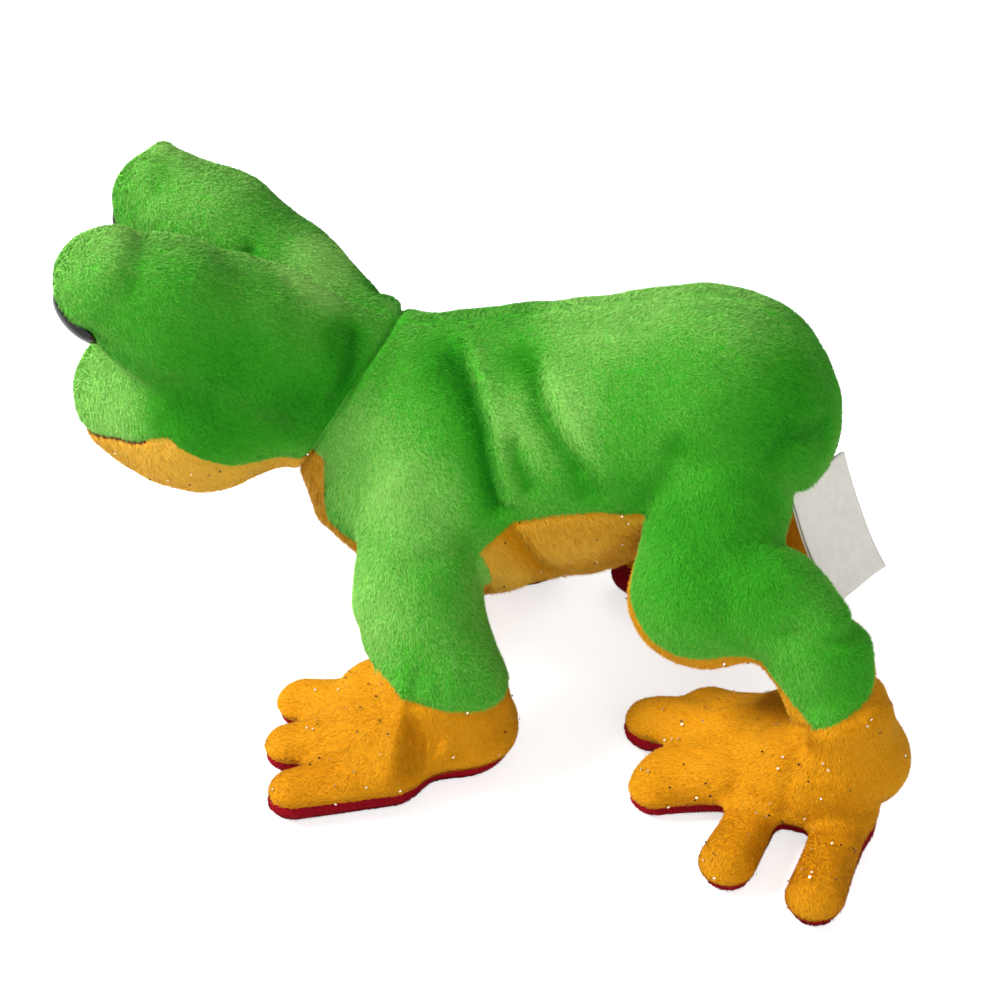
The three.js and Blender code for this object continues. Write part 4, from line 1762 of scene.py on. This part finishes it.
def grain_group() -> bpy.types.NodeTree:
    """Fine scuffs: a mask that tints the colour and a roughness that wanders with it.

    Returns:
        The node group.
    """
    tree = bpy.data.node_groups.new("surface_grain", "ShaderNodeTree")
    for name, usual in (("Size", 400.0), ("Strength", 0.08), ("Roughness", 0.5)):
        group_socket(tree, name, "NodeSocketFloat", "INPUT", usual)
    for name in ("Mask", "Roughness"):
        group_socket(tree, name, "NodeSocketFloat", "OUTPUT")
    nodes = Nodes(tree)
    given = nodes.add("NodeGroupInput").outputs
    grain = nodes.noise(given["Size"], 4.0)
    lift = nodes.about_zero(grain, given["Strength"])
    end = nodes.add("NodeGroupOutput")
    nodes.feed(end, Mask=grain, Roughness=nodes.maths("ADD", lift, given["Roughness"]))
    return tree


def rgb(red: int, green: int, blue: int) -> tuple[float, float, float, float]:
    """A colour written as it looks on screen, from 0 to 255, as the shader's own linear values.

    Args:
        red: the red share.
        green: the green share.
        blue: the blue share.

    Returns:
        Red, green, blue and 1 for opaque.
    """
    shares = [value / 255 for value in (red, green, blue)]
    linear = [s / 12.92 if s <= 0.04045 else ((s + 0.055) / 1.055) ** 2.4 for s in shares]
    return (*linear, 1.0)


@dataclass(frozen=True)
class PileFinish:
    """Dyed plush pile."""

    slot: Slot
    root: tuple[int, int, int]
    body: tuple[int, int, int]
    tip: tuple[int, int, int]
    roughness: float = 0.75
    sheen: float = 0.3
    sheen_roughness: float = 0.45
    specular: float = 0.12

    def material(self) -> bpy.types.Material:
        """Makes the material.

        Returns:
            The material.
        """
        made, nodes, shader = start_material(self.slot.value)
        group = bpy.data.node_groups.get("pile_colour") or pile_group()
        colour = nodes.add("ShaderNodeGroup", node_tree=group)
        nodes.feed(colour, Root=rgb(*self.root), Body=rgb(*self.body), Tip=rgb(*self.tip))
        nodes.feed(shader, Base_Color=colour.outputs["Colour"], Roughness=self.roughness)
        nodes.feed(shader, Specular_IOR_Level=self.specular, Sheen_Weight=self.sheen)
        nodes.feed(shader, Sheen_Roughness=self.sheen_roughness, Sheen_Tint=rgb(*self.tip))
        return made


@dataclass(frozen=True)
class SmoothFinish:
    """A smooth moulded or woven surface with fine scuffs in its gloss."""

    name: str
    colour: tuple[int, int, int]
    roughness: float
    specular: float = 0.5
    sheen: float = 0.0
    scuff_size: float = 400.0
    scuff_strength: float = 0.08
    scuffed_share: float = 0.9

    def material(self) -> bpy.types.Material:
        """Makes the material.

        Returns:
            The material.
        """
        made, nodes, shader = start_material(self.name)
        group = bpy.data.node_groups.get("surface_grain") or grain_group()
        grain = nodes.add("ShaderNodeGroup", node_tree=group)
        nodes.feed(grain, Size=self.scuff_size, Strength=self.scuff_strength, Roughness=self.roughness)
        darker = tuple(int(value * self.scuffed_share) for value in self.colour)
        colour = nodes.blend(grain.outputs["Mask"], rgb(*darker), rgb(*self.colour))
        nodes.feed(shader, Base_Color=colour, Roughness=grain.outputs["Roughness"])
        nodes.feed(shader, Specular_IOR_Level=self.specular, Sheen_Weight=self.sheen)
        return made


@dataclass(frozen=True)
class FoilFinish:
    """Foil, bright on some dots and dark on others."""

    bright: tuple[int, int, int] = (226, 214, 196)
    dark: tuple[int, int, int] = (58, 34, 22)
    share: float = 0.5
    band: float = 0.1
    metallic: float = 0.7
    roughness: float = 0.25

    def material(self) -> bpy.types.Material:
        """Makes the material.

        Returns:
            The material.
        """
        made, nodes, shader = start_material("foil")
        shade = nodes.ramp(nodes.painted("strand"), self.share - self.band, self.share + self.band)
        colour = nodes.blend(shade, rgb(*self.dark), rgb(*self.bright))
        nodes.feed(shader, Base_Color=colour, Metallic=self.metallic, Roughness=self.roughness)
        return made


FINISHES = {
    Slot.GREEN: PileFinish(Slot.GREEN, (10, 118, 6), (54, 166, 26), (156, 218, 106)),
    Slot.ORANGE: PileFinish(Slot.ORANGE, (190, 108, 0), (214, 146, 0), (242, 196, 74), sheen=0.2),
    Slot.RED: PileFinish(Slot.RED, (70, 0, 6), (146, 0, 20), (170, 14, 34), sheen=0.1),
    Slot.EYE: SmoothFinish("eye_plastic", (4, 4, 5), 0.1, specular=0.28, scuff_strength=0.02),
    Slot.SATIN: SmoothFinish("satin", (240, 236, 226), 0.42, sheen=0.3),
}
HIDDEN_FINISHES = {
    "fibre": SmoothFinish("fibre", (240, 238, 232), 0.9),
    "pellets": SmoothFinish("pellets", (214, 214, 206), 0.6),
    "washer_plastic": SmoothFinish("washer_plastic", (222, 222, 222), 0.5),
}


# Dressing

@dataclass
class Tailor:
    """Cuts the frog's skin into panels and grows their pile."""

    cell: float
    pile: Pile = Pile()
    foil: Foil = Foil()
    torso: Torso = Torso()
    head: Head = Head()
    hem: float = 1.6
    within: float = 12.0
    head_join: float = 8.0
    neck_grooves: tuple[tuple[float, float], ...] = ((0.5, 3.6), (1.3, 0.9))
    floor_band: float = 3.0
    slack_start: float = 4.0
    slack_fade: float = 6.0
    # How strongly shade is painted into the folds and light onto the ridges.
    fold_shade: float = 0.18

    def __post_init__(self) -> None:
        """Makes the finishes, and room for where each leg bends."""
        self.bends: dict[str, tuple[np.ndarray, np.ndarray]] = {}
        self.materials = {slot: finish.material() for slot, finish in FINISHES.items()}
        self.foil_material = FoilFinish().material()

    def distance(self, places: np.ndarray) -> np.ndarray:
        """The whole frog's skin: torso, head and limbs joined with soft valleys, less the pile's rise.

        Args:
            places: one row of x, y and z for each place.

        Returns:
            The distance at each place, in millimetres.
        """
        found = soft_union(self.torso.distance(places), self.head.distance(places), self.head_join)
        near = (np.abs(self.head.neck_values(places)) < NEAR) & (found < NEAR)
        wide, narrow = (groove(self.head.neck_values(places[near]), *dip) for dip in self.neck_grooves)
        found[near] += wide + narrow
        for limb in LIMBS:
            found = soft_union(found, limb.distance(places), limb.body_join)
        near = np.abs(found) < NEAR
        height = places[near][:, 2]
        found[near] += rumple(places[near]) * smooth((height - self.slack_start) / self.slack_fade)
        floor = -places[:, 2] - PILE_RISE
        return np.where(places[:, 2] < self.floor_band, np.maximum(found, floor), found) + PILE_RISE

    def skin(self) -> Surface:
        """The whole skin as one surface."""
        low, high = (np.array(corner) * MM - ROW.shift for corner in cad_box)
        return SkinMaker(self.cell).build(self.distance, low, high)

    def shade(self, places: np.ndarray, folds: tuple[Fold | Crease, ...]) -> np.ndarray:
        """Painted shade in the folds: how much darker the pile is in a fold's dent, and lighter, as painted
        light, on a ridge.
        """
        return self.fold_shade * sum(fold.dent(places) for fold in folds)

    def head_tone_and_painted_light(self, places: np.ndarray) -> np.ndarray:
        """The head's painted light and shade: its patches, painted shade in its folds and painted light on
        its ridges.
        """
        return HEAD_TONE_AND_PAINTED_LIGHT(places) - self.shade(self.head.local(places), self.head.all_folds())

    def body_tone_and_painted_light(self, places: np.ndarray) -> np.ndarray:
        """The painted light and shade of body and legs: their patches, painted shade in the body's folds and
        painted light on its ridges.
        """
        places = places.astype(np.float32)
        return BODY_TONE_AND_PAINTED_LIGHT(places) - self.shade(places, self.torso.all_folds())

    def belly_tone_and_painted_shade(self, places: np.ndarray) -> np.ndarray:
        """The belly's dyed level, with painted shade in its folds."""
        return BELLY_TONE(places) - self.shade(places.astype(np.float32), self.torso.all_folds())

    def clipped(self, places: np.ndarray) -> np.ndarray:
        """How long pile is left: shorter within 3 mm of the neck's seam and close to the middle line."""
        by_neck = smooth(np.abs(self.head.neck_values(places)) / 3)
        return 0.3 + 0.7 * by_neck * smooth(0.4 + np.abs(places[:, 1]) / 2)

    def whole(self, places: np.ndarray) -> np.ndarray:
        """Pile left at its full length."""
        return np.ones(len(places))

    def cropped(self, places: np.ndarray) -> np.ndarray:
        """The feet's pile, two thirds as long."""
        return np.full(len(places), 0.66)

    def shaggy(self, places: np.ndarray) -> np.ndarray:
        """The belly's pile, three quarters longer."""
        return np.full(len(places), 1.75)

    def panels(self) -> list[Panel]:
        """Cuts the skin along its seams.

        Returns:
            The panels, the head's first.
        """
        skin = self.skin()
        log.info("skin: %d triangles", len(skin.triangles))
        body, head = skin.split(self.head.neck_values(skin.places))
        panels = self.head_panels(head)
        for limb in LIMBS:
            body, leg = body.split(self.lead(limb, body.places))
            seam = np.abs(self.lead(limb, leg.places)) < 0.1
            self.bends[limb.name] = limb.seam_bend(leg.places[seam])
            panels += self.limb_panels(limb, leg)
        belly, green = body.split(self.torso.belly_values(body.places))
        left, right = green.split(green.places[:, 1])
        nap = Nap((0.75, 0.0, -0.55))
        filled = ("body_panel_left", "body_stuffing", "pellet_fill")
        flank = (self.body_tone_and_painted_light, self.clipped)
        panels += [
            Panel("left_flank_fabric", filled, Slot.GREEN, left, nap, *flank),
            Panel("right_flank_fabric", ("body_panel_right",), Slot.GREEN, right, nap, *flank),
            Panel("belly_fabric", ("belly_panel",), Slot.ORANGE, belly, nap, self.belly_tone_and_painted_shade, self.shaggy),
        ]
        return panels

    def lead(self, limb: Limb, places: np.ndarray) -> np.ndarray:
        """Positive where a leg's skin stands further out than the torso's: the two meet at its seam.

        Args:
            limb: the leg with its foot.
            places: one row of x, y and z for each place.

        Returns:
            How far ahead the leg is, in millimetres.
        """
        return np.minimum(self.torso.form().distance(places), self.within) - limb.distance(places)

    def head_panels(self, head: Surface) -> list[Panel]:
        """The head's two green panels, its jaw and the dark lining between the lips.

        Args:
            head: the head's skin.

        Returns:
            The four panels.
        """
        jaw, upper = head.split(self.head.jaw_values(head.places))
        reach = self.head.mouth_rear - self.head.local(jaw.places)[:, 0]
        lip = self.head.jaw_values(jaw.places) + self.head.mouth_lip
        jaw, lining = jaw.split(np.minimum(reach / self.head.mouth_taper, lip))
        left, right = upper.split(self.head.middle_values(upper.places))
        nap, filled = Nap((0.8, 0.0, -0.6)), ("head_panel_left", "head_stuffing")
        green = (self.head_tone_and_painted_light, self.clipped)
        return [
            Panel("left_head_fabric", filled, Slot.GREEN, left, nap, *green),
            Panel("right_head_fabric", ("head_panel_right",), Slot.GREEN, right, nap, *green),
            Panel("jaw_fabric", ("jaw_panel",), Slot.ORANGE, jaw, nap, JAW_TONE, self.whole),
            Panel("lip_fabric", ("mouth_lining",), Slot.RED, lining, nap, LIP_TONE, self.cropped),
        ]

    def limb_panels(self, limb: Limb, skin: Surface) -> list[Panel]:
        """A limb's outer and inner leg panels, and its foot's top and sole.

        Args:
            limb: the leg with its foot.
            skin: its skin.

        Returns:
            The four panels.
        """
        foot, leg = skin.split(limb.cuff_values(skin.places))
        inner, outer = leg.split(limb.inner_values(leg.places))
        sole, top = foot.split(limb.sole_values(foot.places))
        down = Nap((0.35, 0.0, -1.0))
        out = Nap((1.0, 1.0, 0.3), tuple(float(value) for value in limb.cuff_place))
        orange = Slot.ORANGE
        leg_style, foot_style = (down, PLAIN_TONE, self.whole), (out, FOOT_TONE, self.cropped)
        rows = (
            ("outer", ("leg_outer", "leg_stuffing"), Slot.GREEN, outer, (down, self.body_tone_and_painted_light, self.whole)),
            ("inner", ("leg_inner",), orange, inner, leg_style),
            ("foot", ("foot_top", "foot_wadding"), orange, top, foot_style),
            ("sole", ("foot_sole",), Slot.RED, sole, (out, PLAIN_TONE, self.cropped)),
        )
        panels = []
        for part, nodes, slot, piece, style in rows:
            named = tuple(f"{limb.name}_{node}" for node in nodes)
            panels.append(Panel(f"{limb.name}_{part}_fabric", named, slot, piece, *style))
        return panels

    def sew(self, panel: Panel, seed: int) -> bpy.types.Object:
        """Makes one panel's piece, with its hem, pile and foil.

        Args:
            panel: the panel.
            seed: starts its random numbers.

        Returns:
            The piece.
        """
        skin = panel.skin.hem(self.hem)
        strands = self.pile.grow(panel, seed)
        count = len(strands.chance)
        blades = np.arange(count * 3).reshape(-1, 3) + len(skin.places)
        places, normals = [skin.places, strands.places], [skin.normals, strands.normals]
        triangles = [skin.triangles, blades]
        chance = [np.full(len(skin.places), 0.5), np.repeat(strands.chance, 3)]
        height = [np.full(len(skin.places), ROOT_HEIGHT), np.tile([ROOT_HEIGHT, ROOT_HEIGHT, 1.0], count)]
        if panel.slot is Slot.ORANGE:
            dots = self.foil.scatter(panel.skin, seed)
            places.append(dots.places)
            normals.append(dots.normals)
            triangles.append(dots.triangles + len(skin.places) + count * 3)
            chance.append(dots.chance)
            height.append(np.ones(len(dots.places)))
        places = np.concatenate(places)
        mesh = mesh_of(panel.name, places, np.concatenate(triangles))
        paint(mesh, "height", np.concatenate(height))
        paint(mesh, "strand", np.concatenate(chance))
        # Each place's dyed level with its painted light and shade.
        paint(mesh, "tone", panel.tone(places))
        bake_map(mesh, skin.places, skin.triangles, count)
        mesh.materials.append(self.materials[panel.slot])
        if panel.slot is Slot.ORANGE:
            mesh.materials.append(self.foil_material)
            foiled = np.arange(len(mesh.polygons)) >= len(skin.triangles) + count
            mesh.polygons.foreach_set("material_index", foiled.astype(np.int32))
        mesh.normals_split_custom_set_from_vertices(np.concatenate(normals).astype(np.float32))
        piece = show(mesh)
        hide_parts(*panel.nodes)
        return piece


def hang(piece: bpy.types.Object, panel: Panel, tailor: Tailor) -> None:
    """Hangs the head's panels on the head and each sole on its foot; the body's, legs' and foot tops' panels
    stay in place.

    Args:
        piece: the panel's piece.
        panel: the panel.
        tailor: gives the head and where each leg bends.
    """
    head = tailor.head
    node = panel.nodes[0]
    if node in ("body_panel_left", "body_panel_right", "belly_panel"):
        tilt = math.radians(head.neck_tilt_degrees)
        x, _, z = head.neck
        start = ROW.point(x + head.neck_reach * math.cos(tilt), 0, z - head.neck_reach * math.sin(tilt))
        ROW.point(*head.neck)
        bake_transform(piece)
        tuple(start)
        return
    limb = next((limb for limb in LIMBS if node.startswith(limb.name)), None)
    if limb is None:
        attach(piece, "head")
        return
    leg, foot = f"{limb.name}_leg", f"{limb.name}_foot"
    if node.startswith(leg):
        start, end = tailor.bends[limb.name]
        ROW.point(*start)
        ROW.point(*end)
        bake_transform(piece)
    elif node.endswith("foot_top"):
        start, end = limb.ankle_bend()
        ROW.point(*start)
        ROW.point(*end)
        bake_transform(piece)
    else:
        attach(piece, foot)


@dataclass(frozen=True)
class Eye:
    """A glossy dome: a profile turned about its own axis, then faced forward, down and a little aside."""

    radius: float = 9.0
    crown: float = 4.2
    rim: float = 1.2
    rounding: float = 0.4
    seat: tuple[float, float, float] = (-104.6, 26.7, 112.3)
    droop_degrees: float = 40.0
    splay_degrees: float = 18.0
    sides: int = 64
    rings: int = 22

    def profile(self) -> np.ndarray:
        """Radius and height from the crown to the back: a quarter of an ellipse, then a rounded rim.

        Returns:
            Two numbers in each row.
        """
        dome = np.linspace(math.pi / 2, 0, self.rings)
        edge = np.linspace(0, math.pi / 2, 6)[1:]
        upper = np.stack([self.radius * np.cos(dome), self.crown * np.sin(dome)], 1)
        inward = self.radius - self.rounding * (1 - np.cos(edge))
        return np.concatenate([upper, np.stack([inward, -self.rim * np.sin(edge)], 1)])

    def facing(self, head: Head, side: Side) -> np.ndarray:
        """The way that the dome looks.

        Args:
            head: the head that it sits in.
            side: which side it is on.

        Returns:
            A row of length one.
        """
        droop, splay = math.radians(self.droop_degrees), math.radians(self.splay_degrees) * side.value
        flat = math.cos(droop)
        return head.outward(np.array([-flat * math.cos(splay), flat * math.sin(splay), -math.sin(droop)]))

    def build(self, head: Head, side: Side, material: bpy.types.Material) -> bpy.types.Object:
        """Makes one eye and seats it in the head.

        Args:
            head: the head that it sits in.
            side: which side it is on.
            material: its finish.

        Returns:
            The piece.
        """
        name = side.name.lower()
        facing = self.facing(head, side)
        across = np.cross(facing, [0, 0, 1])
        across /= np.linalg.norm(across)
        ahead = np.cross(facing, across)
        neck = np.array(head.neck)
        seat = np.array(self.seat) * [1, side.value, 1]
        seat = head.outward(seat - neck) + neck
        turn = np.linspace(0, 2 * math.pi, self.sides, endpoint=False)
        profile = self.profile()[1:]
        ring = across * np.cos(turn)[:, None] + ahead * np.sin(turn)[:, None]
        body = seat + profile[:, None, :1] * ring + profile[:, None, 1:] * facing
        places = np.concatenate([body.reshape(-1, 3), [seat + self.crown * facing, seat - self.rim * facing]])
        step = np.arange(self.sides)
        after = (step + 1) % self.sides
        first = np.arange(len(profile) - 1)[:, None] * self.sides
        one, two, low = first + step, first + after, self.sides
        walls = [np.stack([one, one + low, two], -1), np.stack([two, one + low, two + low], -1)]
        last = (len(profile) - 1) * self.sides
        caps = [
            np.stack([np.full(self.sides, len(body) * self.sides), step, after], 1),
            np.stack([last + after, last + step, np.full(self.sides, len(body) * self.sides + 1)], 1),
        ]
        triangles = np.concatenate([wall.reshape(-1, 3) for wall in walls] + caps)
        if np.linalg.det(np.stack([across, ahead, facing])) < 0:
            triangles = triangles[:, ::-1]
        mesh = mesh_of(f"{name}_eye_dome", places, triangles)
        mesh.materials.append(material)
        piece = show(mesh)
        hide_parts(f"eye_{name}")
        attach(piece, "head")
        return piece


@dataclass(frozen=True)
class Label:
    """The sewn-in label: one strip of satin folded double, which bows as it hangs from the rump's seam.

    A path runs down the front layer, round the fold and up the back layer. It is bowed by a sine of
    its own length and curled by the square of the distance from its middle line.
    """

    width: float = 25.0
    hidden: float = 9.0
    length: float = 42.0
    thickness: float = 0.35
    gap: float = 0.55
    seat: tuple[float, float, float] = (81.0, -6.0, 88.0)
    down: tuple[float, float, float] = (0.4289, -0.1910, -0.8829)
    across: tuple[float, float, float] = (0.4067, 0.9135, 0.0)
    bow: float = 1.8
    curl: float = 1.3
    wrinkle: float = 0.5
    bends: tuple[float, float] = (3.0, 9.0)
    steps: int = 72
    columns: int = 24

    def build(self, material: bpy.types.Material) -> bpy.types.Object:
        """Makes the label.

        Args:
            material: its finish.

        Returns:
            The piece.
        """
        down, across = np.array(self.down), np.array(self.across)
        out = np.cross(across, down)
        half = self.gap / 2 + self.thickness / 2
        straight = self.length - self.hidden - half
        total = 2 * straight + math.pi * half
        along = np.linspace(0, total, self.steps)[:, None]
        aside = np.linspace(-1, 1, self.columns)[None, :]
        bend = np.clip((along - straight) / half, 0, math.pi)
        fall = np.where(along < straight, along, np.where(along > total - straight, total - along, straight))
        fall = fall + half * np.sin(bend)
        stand = half * np.cos(bend)
        share = fall / self.length
        wrinkled = self.wrinkle * np.sin(9 * share + 3 * aside) * np.sin(5 * share - 2 * aside) * share
        bowed = self.bow * np.sin(math.pi * share) - self.curl * aside**2 * share + wrinkled
        middle = np.array(self.seat) + self.hidden * down
        axis = out[None, None] * (stand + bowed)[..., None]
        strip = middle + down * fall[..., None] + across * (aside * self.width / 2)[..., None] + axis
        face = out * np.cos(bend)[..., None] + down * np.sin(bend)[..., None] + 0 * strip
        layers = [strip + face * self.thickness / 2, strip - face * self.thickness / 2]
        places = np.concatenate([layer.reshape(-1, 3) for layer in layers])
        number = np.arange(self.steps * self.columns).reshape(self.steps, self.columns)
        quads = np.stack([number[:-1, :-1], number[1:, :-1], number[1:, 1:], number[:-1, 1:]], -1)
        quads = quads.reshape(-1, 4)
        back = len(places) // 2
        rim = np.concatenate([number[0, :], number[1:, -1], number[-1, -2::-1], number[-2:0:-1, 0]])
        after = np.roll(rim, -1)
        edge = np.stack([rim, after, after + back, rim + back], 1)
        faces = np.concatenate([quads, quads[:, ::-1] + back, edge])
        triangles = np.concatenate([faces[:, [0, 1, 2]], faces[:, [0, 2, 3]]])
        corners = places[triangles]
        volume = np.einsum("ij,ij->i", corners[:, 0], np.cross(corners[:, 1], corners[:, 2])).sum()
        mesh = mesh_of("satin_label", places, triangles if volume > 0 else triangles[:, ::-1])
        mesh.materials.append(material)
        piece = show(mesh)
        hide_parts("sewn_in_label")
        start, end = (np.array(self.seat) + down * (self.hidden + reach) for reach in self.bends)
        ROW.point(*start)
        ROW.point(*end)
        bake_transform(piece)
        return piece


def finish_hidden() -> None:
    """Gives the solids that stay inside the frog their own finishes."""
    made = {slot: finish.material() for slot, finish in HIDDEN_FINISHES.items()}
    for row in frame["record"]["subparts"]:
        if row["material_slot"] in made:
            for slot in bpy.data.objects[row["node"]].material_slots:
                slot.material = made[row["material_slot"]]


@dataclass(frozen=True)
class Studio:
    """A pale floor, soft lamps and the camera at the photograph's angle."""

    azimuth: float = 15.0
    elevation: float = 32.0
    distance: float = 0.62
    aim: tuple[float, float, float] = (0.0, 0.0, 53.0)
    lens: float = 82.6
    floor_reach: float = 4.0
    floor_glow: float = 0.68
    sky: float = 0.37
    lamps: tuple[tuple[str, tuple[float, float, float], float, float], ...] = (
        ("key", (-0.95, -0.3, 0.95), 0.5, 27),
        ("fill", (0.55, -1.0, 0.55), 0.9, 5.6),
        ("rim", (0.2, 1.0, 0.9), 0.8, 3),
    )

    def camera(self) -> None:
        """Aims the camera."""
        turn, rise = math.radians(self.azimuth), math.radians(self.elevation)
        back = np.array([math.sin(turn) * math.cos(rise), -math.cos(turn) * math.cos(rise), math.sin(rise)])
        place = np.array(ROW.point(*self.aim)) + back * self.distance
        seen = bpy.data.cameras.new("camera")
        seen.lens = self.lens
        seen.clip_start = 0.01
        held = bpy.data.objects.new("camera", seen)
        held.location = place
        held.rotation_euler = (math.pi / 2 - rise, 0, turn)
        bpy.context.scene.collection.objects.link(held)
        bpy.context.scene.camera = held

    def floor(self) -> None:
        """Lays the floor, which looks white but keeps the frog's shadow."""
        reach = self.floor_reach
        corners = [(-reach, -reach, 0), (reach, -reach, 0), (reach, reach, 0), (-reach, reach, 0)]
        mesh = bpy.data.meshes.new("floor")
        mesh.from_pydata(corners, [], [(0, 1, 2, 3)])
        made, nodes, shader = start_material("floor")
        nodes.feed(shader, Base_Color=(0.8, 0.8, 0.8, 1), Roughness=0.9, Emission_Color=(1, 1, 1, 1))
        glow = nodes.maths("MULTIPLY", nodes.seen_plainly(), self.floor_glow)
        nodes.put(shader, "Emission Strength", glow)
        mesh.materials.append(made)
        show(mesh)

    def world(self) -> None:
        """Lights everything softly, with a white backdrop for the camera alone."""
        made = bpy.data.worlds.new("studio")
        made.use_nodes = True
        nodes = Nodes(made.node_tree)
        background = made.node_tree.nodes["Background"]
        seen = nodes.maths("MULTIPLY", nodes.seen_plainly(), 1 - self.sky)
        nodes.feed(background, Color=(1, 1, 1, 1), Strength=nodes.maths("ADD", seen, self.sky))
        bpy.context.scene.world = made

    def lamp(self, name: str, place: tuple[float, float, float], size: float, watts: float) -> None:
        """Hangs a square lamp that faces the frog.

        Args:
            name: the lamp's name.
            place: where it hangs, in metres.
            size: its side.
            watts: its power.
        """
        light = bpy.data.lights.new(name, "AREA")
        light.size = size
        light.energy = watts
        hung = bpy.data.objects.new(name, light)
        hung.location = place
        aim = np.array([0, 0, 0.06]) - np.array(place)
        hung.rotation_euler = (
            math.acos(-aim[2] / float(np.linalg.norm(aim))),
            0,
            math.atan2(aim[1], aim[0]) - math.pi / 2,
        )
        bpy.context.scene.collection.objects.link(hung)

    def build(self) -> None:
        """Sets the whole studio up."""
        self.camera()
        self.floor()
        self.world()
        for lamp in self.lamps:
            self.lamp(*lamp)
        bpy.context.scene.view_settings.view_transform = "Standard"


def main() -> None:
    """Builds the frog panel by panel."""
    logging.basicConfig(level=logging.INFO, format="%(message)s")
    Studio().build()
    tailor = Tailor(CELL)
    for number, panel in enumerate(tailor.panels()):
        piece = tailor.sew(panel, number)
        hang(piece, panel, tailor)
        log.info("%s: %d triangles", panel.name, len(piece.data.polygons))
    for side in Side:
        piece = Eye().build(tailor.head, side, tailor.materials[Slot.EYE])
        log.info("%s: %d triangles", piece.name, len(piece.data.polygons))
    piece = Label().build(tailor.materials[Slot.SATIN])
    log.info("%s: %d triangles", piece.name, len(piece.data.polygons))
    finish_hidden()


if __name__ == "__main__":
    main()
